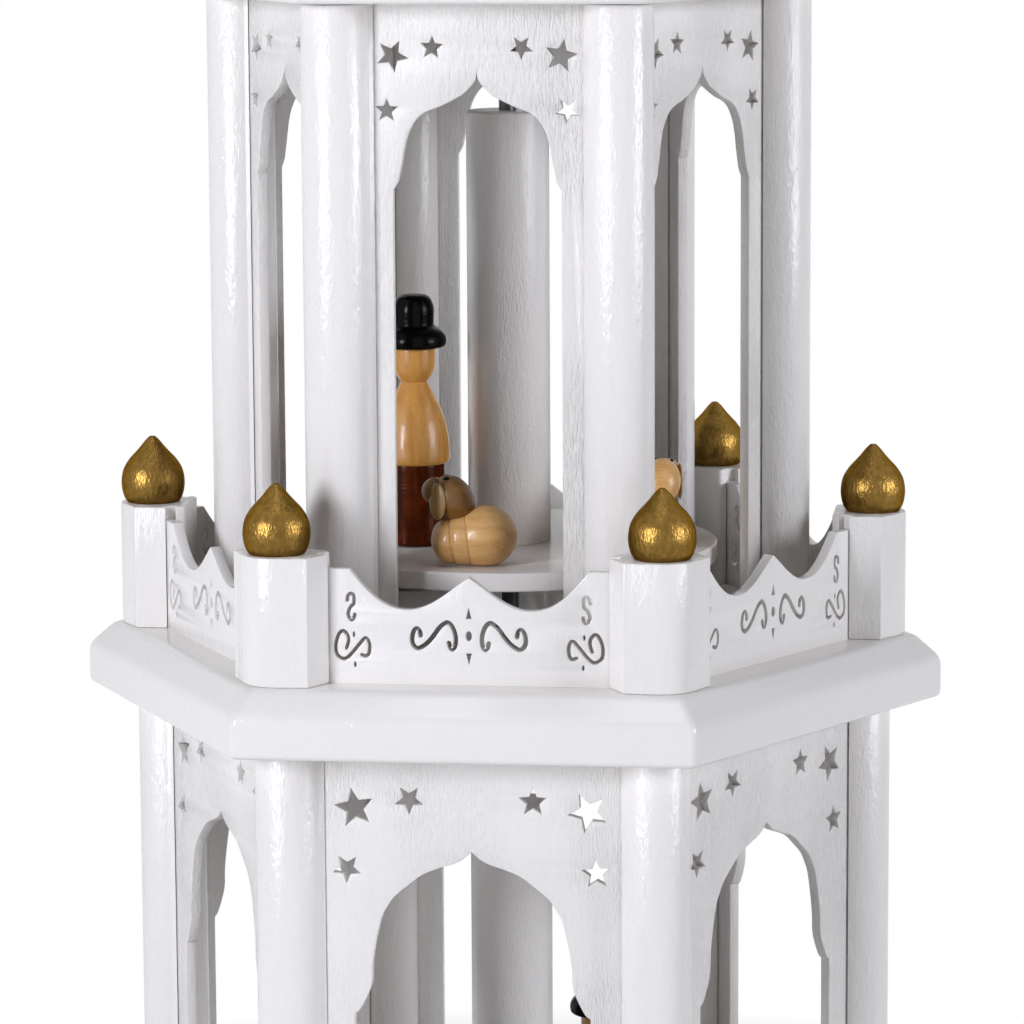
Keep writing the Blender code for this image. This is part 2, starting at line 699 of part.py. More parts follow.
def wing_wheel():
    """Makes the hub with its ring of pitched blades, joined into one piece."""
    bore = SHAFT_RADIUS + SEAT_GAP
    profile = [
        (0, HUB_HEIGHT),
        (HUB_RADIUS - HUB_CROWN, HUB_HEIGHT),
        (HUB_RADIUS, HUB_HEIGHT - HUB_CROWN),
        (HUB_RADIUS, HUB_CROWN / 2),
        (HUB_RADIUS - HUB_CROWN / 2, 0),
        (bore, 0),
        (bore, HUB_BORE_DEPTH),
        (0, HUB_BORE_DEPTH),
    ]
    hub = node("wing_wheel", turned("wing_wheel", profile, HUB_SEGMENTS), LACQUER)
    mesh = blade_mesh()
    for k in range(BLADE_COUNT):
        blade = helper(f"blade_{k + 1}", mesh)
        turn = Matrix.Rotation(k * math.tau / BLADE_COUNT, 4, "Z")
        blade.matrix_world = Matrix.Translation((0, 0, HUB_FOOT + HUB_HEIGHT / 2)) @ turn
        combine(hub, blade, "UNION")
    hub.location.z = HUB_FOOT


def candle_cups():
    """Stands six turned candle cups with drip dishes near the corners of the base."""
    socket = CUP_SOCKET_RADIUS
    outer = socket + CUP_WALL
    profile = [
        (0, CUP_FLOOR),
        (socket, CUP_FLOOR),
        (socket, CUP_HEIGHT),
        (outer, CUP_HEIGHT),
        (outer, CUP_DISH_HEIGHT),
        (CUP_DISH_RADIUS - CUP_WALL, CUP_DISH_HEIGHT + CUP_WALL),
        (CUP_DISH_RADIUS, CUP_DISH_HEIGHT),
        (CUP_FOOT_RADIUS, CUP_WALL),
        (CUP_FOOT_RADIUS, 0),
        (0, 0),
    ]
    mesh = turned("candle_cup", profile, CUP_SEGMENTS)
    post_reach = LOWER_POST_CENTRE_RADIUS + POST_RADIUS
    reach = post_reach + CUP_PLACE_SHARE * (BASE_CORNER_RADIUS - post_reach)
    place = Vector((0, -reach, BASE_TOP + SEAT_GAP))
    around("candle_cup", mesh, BRASS, HALF_TURN, place)


def man(name, place, floor):
    """Stands a turned figure with a brimmed hat on a turntable."""
    radii = {"hat": MAN_HAT_RADIUS, "brim": MAN_BRIM_RADIUS, "head": MAN_HEAD_RADIUS,
             "body": MAN_BODY_RADIUS, "leg": MAN_LEG_RADIUS}
    profile = [(0, MAN_HEIGHT)]
    for which, radius_share, height_share in MAN_PROFILE_SHARES:
        profile.append((radii[which] * radius_share, MAN_HEIGHT * height_share))
    profile.append((0, 0))
    piece = node(name, turned(name, profile, MAN_SEGMENTS), WOOD)
    piece.location = (*place, floor + DISC_TOP_HEIGHT + SEAT_GAP)


def ball(name, place, radius, half_length, tilt=0):
    """Returns the mesh of a ball that is stretched along x and then tilted upwards."""
    shell = bmesh.new()
    rings = SHEEP_SEGMENTS // 2 + 1
    bmesh.ops.create_uvsphere(shell, u_segments=SHEEP_SEGMENTS, v_segments=rings, radius=radius)
    bmesh.ops.scale(shell, verts=shell.verts, vec=(half_length / radius, 1, 1))
    matrix = Matrix.Translation(place) @ Matrix.Rotation(-tilt, 4, "Y")
    bmesh.ops.transform(shell, matrix=matrix, verts=shell.verts)
    mesh = bpy.data.meshes.new(name)
    shell.to_mesh(mesh)
    shell.free()
    return mesh


def sheep_body(name):
    """Returns the mesh of a body turned about its long axis, its chest in front and a bit lower."""
    size = SHEEP_BODY_RADIUS
    profile = [(size * out, size * ahead) for ahead, out in reversed(SHEEP_BODY_SHARES)]
    mesh = turned(name, profile, SHEEP_SEGMENTS)
    lift = Matrix.Translation((0, 0, SHEEP_BODY_RADIUS - SHEEP_FLAT))
    mesh.transform(lift @ Matrix.Rotation(math.pi / 2 + SHEEP_BODY_TILT, 4, "Y"))
    return mesh


def sheep(name, place, heading, floor):
    """Stands a sheep on a turntable: a turned body, head and snout, cut flat underneath."""
    piece = node(name, sheep_body(name), WOOD)
    head = ball(f"{name}_head", (SHEEP_HEAD_PLACE, 0, SHEEP_HEAD_HEIGHT), SHEEP_HEAD_RADIUS,
                SHEEP_HEAD_HALF_LENGTH, SHEEP_HEAD_TILT)
    snout = ball(f"{name}_snout", (SHEEP_SNOUT_PLACE, 0, SHEEP_SNOUT_HEIGHT), SHEEP_SNOUT_RADIUS,
                 SHEEP_SNOUT_RADIUS)
    reach = SHEEP_BODY_RADIUS + SHEEP_SNOUT_PLACE + SHEEP_SNOUT_RADIUS
    under = block(f"{name}_under", (-reach, -reach, -reach), (reach, reach, 0))
    move = Matrix.Translation((*place, floor + DISC_TOP_HEIGHT + SEAT_GAP))
    matrix = move @ Matrix.Rotation(heading, 4, "Z")
    for mesh, operation in ((head, "UNION"), (snout, "UNION"), (under, "DIFFERENCE")):
        other = helper(mesh.name, mesh)
        other.matrix_world = matrix
        combine(piece, other, operation)
    piece.matrix_world = matrix


def main():
    """Builds the carousel from the base up."""
    moulded_plate("base_plate", BASE_CORNER_RADIUS, BASE_THICKNESS, 0, bored=False)
    walls_and_posts(LOWER)
    moulded_plate("balcony_plate", BALCONY_CORNER_RADIUS, BALCONY_THICKNESS, BALCONY_FOOT, bored=True)
    balcony_posts()
    finials()
    fences()
    walls_and_posts(UPPER)
    moulded_plate("top_plate", TOP_CORNER_RADIUS, TOP_THICKNESS, TOP_FOOT, bored=True)
    bearing()
    shaft()
    turntable("lower_turntable", LOWER_DISC_RADIUS, BASE_TOP, BALCONY_FOOT)
    turntable("upper_turntable", UPPER_DISC_RADIUS, BALCONY_TOP, TOP_FOOT)
    man("lower_man", LOWER_MAN_PLACE, BASE_TOP)
    man("upper_man", UPPER_MAN_PLACE, BALCONY_TOP)
    sheep("front_sheep", FRONT_SHEEP_PLACE, FRONT_SHEEP_HEADING, BALCONY_TOP)
    sheep("side_sheep", SIDE_SHEEP_PLACE, SIDE_SHEEP_HEADING, BALCONY_TOP)
    wing_wheel()
    candle_cups()


main()
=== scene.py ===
"""The looks of a two-storey candle carousel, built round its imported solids.

White lacquered boards with ogee arches stand between round posts on three moulded plates. A
fenced balcony with gold onion finials runs round the middle plate, and a shaft carries two
turntables with turned figures and the wing wheel. Everything is in metres in the frame of the
solids: +Z up along the axis, the front wall facing -Y. Side k is turned by k times 60 degrees about
the axis and corner k lies half a side further on, so each repeated piece is drawn at the front and
then turned into its place.
"""

import logging
import math
from dataclasses import dataclass, field
from enum import Enum
from typing import Any, ClassVar, Mapping, Optional, Sequence, Union

import bmesh
import bpy
import numpy as np
from mathutils import Matrix, Vector


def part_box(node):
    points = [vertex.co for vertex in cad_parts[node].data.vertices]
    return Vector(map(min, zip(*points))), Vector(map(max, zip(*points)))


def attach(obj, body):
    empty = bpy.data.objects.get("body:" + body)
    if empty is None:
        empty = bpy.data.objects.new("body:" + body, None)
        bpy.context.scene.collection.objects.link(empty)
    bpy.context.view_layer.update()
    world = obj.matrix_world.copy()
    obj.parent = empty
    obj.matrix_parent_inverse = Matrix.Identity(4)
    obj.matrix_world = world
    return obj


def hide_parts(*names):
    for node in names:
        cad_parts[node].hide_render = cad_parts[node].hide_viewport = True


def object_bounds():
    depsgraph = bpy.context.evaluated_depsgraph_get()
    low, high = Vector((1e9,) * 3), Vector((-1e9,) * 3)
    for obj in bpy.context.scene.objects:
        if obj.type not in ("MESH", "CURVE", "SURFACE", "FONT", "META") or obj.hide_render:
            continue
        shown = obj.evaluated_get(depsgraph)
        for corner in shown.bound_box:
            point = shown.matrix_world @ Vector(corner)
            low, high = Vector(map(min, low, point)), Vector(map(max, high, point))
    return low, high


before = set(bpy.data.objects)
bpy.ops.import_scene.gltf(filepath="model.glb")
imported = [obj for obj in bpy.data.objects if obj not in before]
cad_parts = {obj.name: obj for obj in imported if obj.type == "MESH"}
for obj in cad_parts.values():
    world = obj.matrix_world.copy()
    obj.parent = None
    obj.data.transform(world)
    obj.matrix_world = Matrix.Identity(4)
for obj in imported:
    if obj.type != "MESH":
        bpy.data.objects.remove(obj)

LOG = logging.getLogger("carousel")
CAD_BOX = [list(corner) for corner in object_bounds()]

SIDES = 6
SIDE_TURN = math.tau / SIDES
HALF_TURN = SIDE_TURN / 2
HALF_COS, HALF_SIN = math.cos(HALF_TURN), math.sin(HALF_TURN)
SEAT_GAP = 0.0003
BOARD_SHARP = math.radians(30)

Colour = tuple[float, float, float]
Line = Sequence[tuple[float, float]]
Number = Union[int, float, "Socket"]


class Body(Enum):
    """The slot names of the finishes."""

    STAND = "stand"
    ROTOR = "rotor"


class Slot(Enum):
    """The finishes that the record names."""

    LACQUER = "white_lacquer"
    GOLD = "gold_paint"
    STEEL = "shaft_steel"
    WOOD = "turned_wood"
    GLASS = "bearing_glass"
    BRASS = "cup_brass"


class Socket:
    """A shader socket on which Python arithmetic adds Math nodes."""

    def __init__(self, sheet: "NodeSheet", port: bpy.types.NodeSocket) -> None:
        """Keeps the sheet of nodes and the output port."""
        self.sheet = sheet
        self.port = port

    def math(self, operation: str, *values: Number, clamp: bool = False) -> "Socket":
        """Adds a Math node.

        Args:
            operation: the node's operation, such as "MULTIPLY".
            *values: its inputs in order.
            clamp: whether the result stays between 0 and 1.

        Returns:
            The node's result.
        """
        settings = {"operation": operation, "use_clamp": clamp}
        return self.sheet.node("ShaderNodeMath", settings, dict(enumerate(values)))

    def __add__(self, other: Number) -> "Socket":
        """Returns the sum."""
        return self.math("ADD", self, other)

    __radd__ = __add__

    def __sub__(self, other: Number) -> "Socket":
        """Returns the difference."""
        return self.math("SUBTRACT", self, other)

    def __rsub__(self, other: Number) -> "Socket":
        """Returns the difference, this socket taken away."""
        return self.math("SUBTRACT", other, self)

    def __mul__(self, other: Number) -> "Socket":
        """Returns the product."""
        return self.math("MULTIPLY", self, other)

    __rmul__ = __mul__

    def above(self, low: float, high: float) -> "Socket":
        """Returns 0 below low, 1 above high and a straight rise between them."""
        return self.math("MULTIPLY_ADD", self, 1 / (high - low), -low / (high - low), clamp=True)

    def largest(self, other: Number) -> "Socket":
        """Returns the larger of this and another value."""
        return self.math("MAXIMUM", self, other)


class NodeSheet:
    """The nodes of one material or of the world."""

    def __init__(self, owner: Union[bpy.types.Material, bpy.types.World]) -> None:
        """Turns the owner's nodes on and keeps its tree."""
        owner.use_nodes = True
        self.tree = owner.node_tree

    def node(self, kind: str, settings: Optional[Mapping[str, Any]] = None,
             inputs: Optional[Mapping[Union[str, int], Any]] = None,
             output: Union[str, int] = 0) -> Socket:
        """Adds any node.

        Args:
            kind: the node's type.
            settings: its own settings, set first.
            inputs: values or sockets for its inputs, by name or index.
            output: the output that is wanted.

        Returns:
            That output.
        """
        made = self.tree.nodes.new(kind)
        for name, value in (settings or {}).items():
            setattr(made, name, value)
        for key, value in (inputs or {}).items():
            self.feed(made.inputs[key], value)
        return Socket(self, made.outputs[output])

    def feed(self, port: bpy.types.NodeSocket, value: Any) -> None:
        """Links a socket to an input, or sets the input's value.

        Args:
            port: the input.
            value: a socket or a plain value.
        """
        if isinstance(value, Socket):
            self.tree.links.new(value.port, port)
        else:
            port.default_value = value

    def blend(self, share: Number, first: Any, second: Any) -> Socket:
        """Mixes two colours.

        Args:
            share: how much of the second colour shows.
            first: the colour at 0, as a tuple or a socket.
            second: the colour at 1.

        Returns:
            The mixed colour.
        """
        ends = [c if isinstance(c, Socket) else (*c, 1.0) for c in (first, second)]
        inputs = {0: share, 6: ends[0], 7: ends[1]}
        return self.node("ShaderNodeMix", {"data_type": "RGBA"}, inputs, 2)

    def place(self, scale: Sequence[float], shift: Sequence[float] = (0, 0, 0)) -> Socket:
        """Adds the piece's own coordinates, which are in metres.

        Args:
            scale: the factor along each axis.
            shift: what is added along each axis after that.

        Returns:
            The scaled and shifted coordinates.
        """
        here = self.node("ShaderNodeTexCoord", output="Object")
        inputs = {"Vector": here, "Location": shift, "Scale": scale}
        return self.node("ShaderNodeMapping", {"vector_type": "POINT"}, inputs)

    def noise(self, scale: Sequence[float], shift: Sequence[float] = (0, 0, 0),
              detail: float = 2, roughness: float = 0.5, distortion: float = 0) -> Socket:
        """Adds a soft noise.

        Args:
            scale: its patches to the metre along each axis.
            shift: a shift along each axis, so that two noises differ.
            detail: octaves of finer noise.
            roughness: how strong the finer ones are.
            distortion: how far it is warped.

        Returns:
            A value of about 0 to 1.
        """
        inputs = {"Vector": self.place(scale, shift), "Scale": 1.0, "Detail": detail,
                  "Roughness": roughness, "Distortion": distortion}
        return self.node("ShaderNodeTexNoise", {"normalize": True}, inputs)

    def bump(self, height: Socket, distance: float, below: Optional[Socket] = None) -> Socket:
        """Adds a relief.

        Args:
            height: its height, from 0 to 1.
            distance: what a height of 1 is in metres.
            below: the normal of a relief on which it lies.

        Returns:
            The new normal.
        """
        inputs: dict[str, Any] = {"Strength": 1.0, "Distance": distance, "Height": height}
        if below is not None:
            inputs["Normal"] = below
        return self.node("ShaderNodeBump", None, inputs)


class Finish:
    """A surface finish that is made once and shared by the pieces that have it."""

    label: str
    slot: Slot
    _made: dict[str, bpy.types.Material] = {}

    def material(self) -> bpy.types.Material:
        """Makes the material at the first call.

        Returns:
            The material of this finish.
        """
        key = repr(self)
        if key not in Finish._made:
            made = bpy.data.materials.new(self.label)
            sheet = NodeSheet(made)
            shader = sheet.tree.nodes["Principled BSDF"]
            for name, value in self.sockets(sheet).items():
                sheet.feed(shader.inputs[name], value)
            Finish._made[key] = made
        return Finish._made[key]

    def sockets(self, sheet: NodeSheet) -> dict[str, Any]:
        """Adds the nodes of the finish.

        Args:
            sheet: the material's nodes.

        Returns:
            Values and sockets for the shader's inputs, by name.
        """
        raise NotImplementedError

    def cut(self) -> "Finish":
        """Returns the finish of the walls of small holes."""
        return self

    def sawn(self) -> "Finish":
        """Returns the finish of sawn outlines."""
        return self


class Grain(Enum):
    """How strongly the grain shows through the lacquer: ripples, and grain marks."""

    PLATE = (0.25, 0.0)
    FENCE = (0.5, 0.12)
    POST = (1.0, 0.25)
    WALL = (0.6, 1.0)
    COLUMN = (0.9, 0.6)
    DISC = (0.4, 0.05)


@dataclass(frozen=True)
class Lacquer(Finish):
    """Glossy white lacquer, sprayed over sanded wood whose upright grain stands up a little."""

    grain: Grain = Grain.WALL
    colour: Colour = (0.855, 0.835, 0.80)
    shaded: Colour = (0.66, 0.64, 0.605)
    grain_width: float = 0.00034
    grain_length: float = 0.0022
    ripple_width: float = 0.0016
    ripple_length: float = 0.0040
    grain_height: float = 0.00016
    ripple_height: float = 0.00014
    peel_height: float = 0.00011
    speck_height: float = 0.00005
    grain_tint: float = 0.4
    ripple_tint: float = 0.08
    gloss: float = 0.5
    slot: ClassVar[Slot] = Slot.LACQUER

    @property
    def label(self) -> str:
        """The material's name."""
        return f"white_lacquer_{self.grain.name.lower()}"

    def sockets(self, sheet: NodeSheet) -> dict[str, Any]:
        """Adds the nodes.

        Ripples are a noise drawn out upwards and peel a small even one; grain marks are the peaks
        of a fine drawn-out noise, thinned where a broad one is low; specks are small raised cells
        of dust in the lacquer.

        Args:
            sheet: the material's nodes.

        Returns:
            Values and sockets for the shader's inputs, by name.
        """
        ripple_share, grain_share = self.grain.value
        fine = (1 / self.grain_width, 1 / self.grain_width, 1 / self.grain_length)
        broad = (1 / self.ripple_width, 1 / self.ripple_width, 1 / self.ripple_length)
        marks = sheet.noise(fine, detail=3, roughness=0.6)
        ripples = sheet.noise(broad, (3.1, 1.7, 0.4))
        patches = sheet.noise((45, 45, 22), (0.3, 0.9, 0.1), detail=1)
        dust = sheet.node("ShaderNodeTexVoronoi", {"feature": "F1"},
                          {"Vector": sheet.place((420, 420, 300)), "Scale": 1.0})
        specks = 1 - dust.above(0.05, 0.16)
        amount = (patches.above(0.38, 0.62) * 0.75 + 0.25) * grain_share
        peel = sheet.noise((1100, 1100, 650), (0.6, 0.2, 0.8))
        normal = sheet.bump(ripples, self.ripple_height * ripple_share)
        normal = sheet.bump(peel, self.peel_height * ripple_share, normal)
        normal = sheet.bump(marks.above(0.42, 0.72) * amount, self.grain_height, normal)
        normal = sheet.bump(specks, self.speck_height, normal)
        tint = (marks.above(0.55, 0.75) * amount * self.grain_tint
                + ripples.above(0.5, 0.8) * self.ripple_tint)
        return {
            "Base Color": sheet.blend(tint, self.colour, self.shaded),
            "Roughness": 0.14 + 0.10 * patches,
            "Specular IOR Level": self.gloss,
            "Normal": normal,
        }

    def cut(self) -> Finish:
        """Returns the finish of holes in fences and walls and of post joints, partly painted shade.
        """
        return {Grain.FENCE: SCORCHED_AND_SHADE, Grain.POST: JOINT_GLUE_AND_SHADE}.get(self.grain, SHADED_CUT)

    def sawn(self) -> Finish:
        """Returns the finish of sawn outlines: thin paint, darkened further as painted shade."""
        return THIN_PAINT_AND_SHADE


@dataclass(frozen=True)
class GoldPaint(Finish):
    """Brushed-on gold paint over a turned wooden onion."""

    bright: Colour = (0.25, 0.150, 0.038)
    dark: Colour = (0.175, 0.101, 0.023)
    flake_height: float = 0.00008
    brush_height: float = 0.00016
    label: ClassVar[str] = "gold_paint"
    slot: ClassVar[Slot] = Slot.GOLD

    def sockets(self, sheet: NodeSheet) -> dict[str, Any]:
        """Adds the nodes: short upright brush marks and flakes of bronze.

        Args:
            sheet: the material's nodes.

        Returns:
            Values and sockets for the shader's inputs, by name.
        """
        flakes = sheet.noise((900, 900, 600), detail=3, roughness=0.6)
        brushed = sheet.noise((2000, 2000, 800), (0.2, 0.5, 0.8))
        normal = sheet.bump(flakes, self.flake_height)
        normal = sheet.bump(brushed, self.brush_height, normal)
        return {
            "Base Color": sheet.blend(flakes.above(0.35, 0.7), self.dark, self.bright),
            "Metallic": 0.95,
            "Roughness": 0.26 + 0.06 * flakes,
            "Specular Tint": (0.46, 0.35, 0.19, 1.0),
            "Normal": normal,
        }


@dataclass(frozen=True)
class TurnedWood(Finish):
    """Clear-lacquered turned wood: pale and dark year rings with fine pores."""

    label: str = "turned_wood"
    pale: Colour = (0.59, 0.295, 0.064)
    dark: Colour = (0.42, 0.172, 0.023)
    upright: bool = True
    slot: ClassVar[Slot] = Slot.WOOD

    def sockets(self, sheet: NodeSheet) -> dict[str, Any]:
        """Adds the nodes: a noise drawn out along the grain gives the rings, a finer one pores.

        Args:
            sheet: the material's nodes.

        Returns:
            Values and sockets for the shader's inputs, by name.
        """
        along, across = 45, 420
        stretch = (across, across, along) if self.upright else (along, across, across)
        rings = sheet.noise(stretch, detail=3, distortion=0.4)
        pores = sheet.noise([5 * s for s in stretch], (0.7, 0.1, 0.4))
        tint = rings.above(0.35, 0.7) * 0.75 + pores.above(0.5, 0.75) * 0.35
        return {
            "Base Color": sheet.blend(tint, self.pale, self.dark),
            "Roughness": 0.30 + 0.15 * pores,
            "Specular IOR Level": 0.4,
            "Coat Weight": 0.22,
            "Coat Roughness": 0.09,
            "Normal": sheet.bump(pores, 0.00004),
        }


@dataclass(frozen=True)
class GlossPaint(Finish):
    """Coloured gloss paint on a turned figure, a little uneven where the brush went round."""

    label: str
    colour: Colour
    worn: Colour
    gloss: float
    slot: ClassVar[Slot] = Slot.WOOD

    def sockets(self, sheet: NodeSheet) -> dict[str, Any]:
        """Adds the nodes: soft patches of thin paint and faint round brush marks.

        Args:
            sheet: the material's nodes.

        Returns:
            Values and sockets for the shader's inputs, by name.
        """
        patches = sheet.noise((260, 260, 180), distortion=0.5)
        strokes = sheet.noise((160, 160, 1500), (0.5, 0.2, 0.6))
        return {
            "Base Color": sheet.blend(patches.above(0.45, 0.72), self.colour, self.worn),
            "Roughness": 0.16 + 0.10 * patches,
            "Specular IOR Level": self.gloss,
            "Coat Weight": self.gloss,
            "Coat Roughness": 0.08,
            "Normal": sheet.bump(strokes, 0.00009),
        }


@dataclass(frozen=True)
class Metal(Finish):
    """Drawn or spun metal with fine marks along one direction."""

    label: str
    colour: Colour
    tarnish: Colour
    roughness: float
    marks: Sequence[float]
    slot: Slot

    def sockets(self, sheet: NodeSheet) -> dict[str, Any]:
        """Adds the nodes: fine marks, and patches of tarnish.

        Args:
            sheet: the material's nodes.

        Returns:
            Values and sockets for the shader's inputs, by name.
        """
        lines = sheet.noise(self.marks)
        patches = sheet.noise((170, 170, 170), detail=3)
        return {
            "Base Color": sheet.blend(patches.above(0.4, 0.75), self.colour, self.tarnish),
            "Metallic": 1.0,
            "Roughness": self.roughness + 0.14 * patches,
            "Normal": sheet.bump(lines, 0.00003),
        }


@dataclass(frozen=True)
class MouldedGlass(Finish):
    """Clear moulded glass, a little wavy."""

    colour: Colour = (0.93, 0.96, 0.97)
    hazy: Colour = (0.86, 0.90, 0.91)
    label: ClassVar[str] = "bearing_glass"
    slot: ClassVar[Slot] = Slot.GLASS

    def sockets(self, sheet: NodeSheet) -> dict[str, Any]:
        """Adds the nodes: a soft waviness, and faint haze from handling.

        Args:
            sheet: the material's nodes.

        Returns:
            Values and sockets for the shader's inputs, by name.
        """
        waves = sheet.noise((350, 350, 350), detail=1)
        haze = sheet.noise((900, 900, 900))
        return {
            "Base Color": sheet.blend(haze, self.colour, self.hazy),
            "Transmission Weight": 1.0,
            "Roughness": 0.03 + 0.06 * haze,
            "Normal": sheet.bump(waves, 0.00005),
        }


@dataclass(frozen=True)
class CutEdge(Finish):
    """The rough edge of a hole in thin board, in streaks of two colours, dark with painted shade.
    """

    label: str
    dark: Colour
    pale: Colour

    def sockets(self, sheet: NodeSheet) -> dict[str, Any]:
        """Adds the nodes: fine streaks between the two colours.

        Args:
            sheet: the material's nodes.

        Returns:
            Values and sockets for the shader's inputs, by name.
        """
        streaks = sheet.noise((2600, 2600, 2600))
        return {
            "Base Color": sheet.blend(streaks.above(0.4, 0.7), self.dark, self.pale),
            "Roughness": 0.6 + 0.2 * streaks,
            "Specular IOR Level": 0.2,
            "Normal": sheet.bump(streaks, 0.00005),
        }


# Near-black walls of fretwork slots: laser char and painted shade of the dark space behind.
SCORCHED_AND_SHADE = CutEdge("scorched_and_shade_edge", (0.008, 0.007, 0.006), (0.035, 0.030, 0.026))
# Dark walls of the wall stars: rough cut board and painted shade of the dim inside.
SHADED_CUT = CutEdge("shaded_cut_edge", (0.012, 0.010, 0.009), (0.085, 0.078, 0.070))
# Dark strip on a post by a wall: bare wood and glue, and painted shade of the gap.
JOINT_GLUE_AND_SHADE = CutEdge("joint_glue_and_shade_edge", (0.020, 0.017, 0.014), (0.18, 0.165, 0.15))
# Grey sawn edges: thin paint with dark pores, and painted shade of edges facing away from the
# light.
THIN_PAINT_AND_SHADE = CutEdge("thin_paint_and_shade_edge", (0.08, 0.074, 0.067), (0.38, 0.368, 0.35))
WALL_LACQUER = Lacquer(Grain.WALL)
POST_LACQUER = Lacquer(Grain.POST)
PLATE_LACQUER = Lacquer(Grain.PLATE)
FENCE_LACQUER = Lacquer(Grain.FENCE)
COLUMN_LACQUER = Lacquer(Grain.COLUMN, gloss=0.3)
DISC_LACQUER = Lacquer(Grain.DISC, gloss=0.05)
HAT_PAINT = GlossPaint("paint_black", (0.0008, 0.0008, 0.0008), (0.002, 0.002, 0.002), 0.05)
LEG_PAINT = GlossPaint("paint_red_brown", (0.040, 0.007, 0.001), (0.105, 0.016, 0.002), 0.05)
PALE_WOOD = TurnedWood("pale_wood", (0.72, 0.43, 0.165), (0.53, 0.27, 0.075), upright=False)
# Dark brown head wood for the front sheep: painted shade of the wall's jamb; the side sheep's head
# stays pale.
SHADOW_BROWN_WOOD = TurnedWood("shadow_brown_wood", (0.23, 0.108, 0.018), (0.16, 0.066, 0.009), upright=False)
# Ear wood darker than the body: painted shade on the ears.
SHADED_EAR_WOOD = TurnedWood("shaded_ear_wood", (0.42, 0.25, 0.080), (0.30, 0.16, 0.042))
BRASS = Metal("cup_brass", (0.68, 0.49, 0.19), (0.50, 0.34, 0.12), 0.24, (500, 500, 4200),
              Slot.BRASS)
STEEL = Metal("shaft_steel", (0.12, 0.12, 0.125), (0.06, 0.06, 0.063), 0.30, (4200, 4200, 300),
              Slot.STEEL)


def through(points: Any, steps: int) -> np.ndarray:
    """Carries a smooth line through points, as a Catmull-Rom curve.

    Each stretch between two points is a cubic whose slope at a point is half the step from the
    point before it to the point after it.

    Args:
        points: rows of coordinates.
        steps: pieces into which each stretch is cut.

    Returns:
        The finer line, with the same ends.
    """
    p = np.asarray(points, float)
    p = np.vstack([2 * p[0] - p[1], p, 2 * p[-1] - p[-2]])
    a, b, c, d = (p[k:len(p) - 3 + k, None, :] for k in range(4))
    t = np.linspace(0, 1, steps, endpoint=False)[None, :, None]
    line = 0.5 * (2 * b + (c - a) * t + (2 * a - 5 * b + 4 * c - d) * t ** 2
                  + (3 * b - a - 3 * c + d) * t ** 3)
    return np.vstack([line.reshape(-1, p.shape[1]), p[-2]])


def eased(points: Any, reach: Any, steps: int = 4, closed: bool = False) -> np.ndarray:
    """Rounds the corners of a line with a quadratic curve at each.

    The curve starts and ends at reach from the corner and bends towards it.

    Args:
        points: rows of coordinates.
        reach: one length, or one for each point.
        steps: pieces of each rounding.
        closed: whether the last point joins the first.

    Returns:
        The rounded line.
    """
    p = np.asarray(points, float)
    before, after = np.roll(p, 1, 0) - p, np.roll(p, -1, 0) - p
    size = np.broadcast_to(np.asarray(reach, float), len(p)).copy()
    if not closed:
        size[[0, -1]] = 0
    lengths = [np.linalg.norm(v, axis=1) for v in (before, after)]
    size = np.minimum(size, 0.499 * np.minimum(*lengths))
    start, end = (p + v * (size / np.maximum(n, 1e-12))[:, None]
                  for v, n in zip((before, after), lengths))
    t = np.linspace(0, 1, steps + 1)[None, :, None]
    line = (1 - t) ** 2 * start[:, None] + 2 * t * (1 - t) * p[:, None] + t ** 2 * end[:, None]
    line = line.reshape(-1, p.shape[1])
    step = np.linalg.norm(np.roll(line, -1, 0) - line, axis=1)
    kept = step > 1e-7
    if not closed:
        kept[-1] = True
    return line[kept]


def surface(grid: np.ndarray, ring: bool = False, sharp: float = 38.0) -> bpy.types.Mesh:
    """Makes a closed mesh of a grid of points whose columns go round.

    Args:
        grid: rows by columns by three coordinates. A first or last row that lies in one point
            becomes a pole.
        ring: whether the last row joins the first, as round a bore.
        sharp: the angle in degrees from which an edge stays sharp.

    Returns:
        The mesh, its faces outwards.
    """
    rows, columns = grid.shape[:2]
    index = np.arange(rows * columns).reshape(rows, columns)
    for row in (0, -1):
        if np.ptp(grid[row], axis=0).max() < 1e-9:
            index[row] = index[row, 0]
    low, high = (index, np.roll(index, -1, 0)) if ring else (index[:-1], index[1:])
    quads = np.stack([low, np.roll(low, -1, 1), np.roll(high, -1, 1), high], -1).reshape(-1, 4)
    first = quads[:, 0] == quads[:, 1]
    last = quads[:, 2] == quads[:, 3]
    corners = np.vstack([quads[first][:, [0, 2, 3]], quads[last][:, [0, 1, 2]]])
    whole = quads[~first & ~last]
    used, numbers = np.unique(np.concatenate([whole.ravel(), corners.ravel()]), return_inverse=True)
    points = grid.reshape(-1, 3)[used]
    whole = numbers[:whole.size].reshape(-1, 4)
    corners = numbers[whole.size:].reshape(-1, 3)
    triangles = points[np.vstack([whole[:, :3], whole[:, [0, 2, 3]], corners])]
    if np.linalg.det(triangles - points.mean(0)).sum() < 0:
        whole, corners = whole[:, ::-1], corners[:, ::-1]
    mesh = bpy.data.meshes.new("surface")
    mesh.from_pydata(points, [], whole.tolist() + corners.tolist())
    mesh.shade_smooth()
    mesh.set_sharp_from_angle(angle=math.radians(sharp))
    return mesh


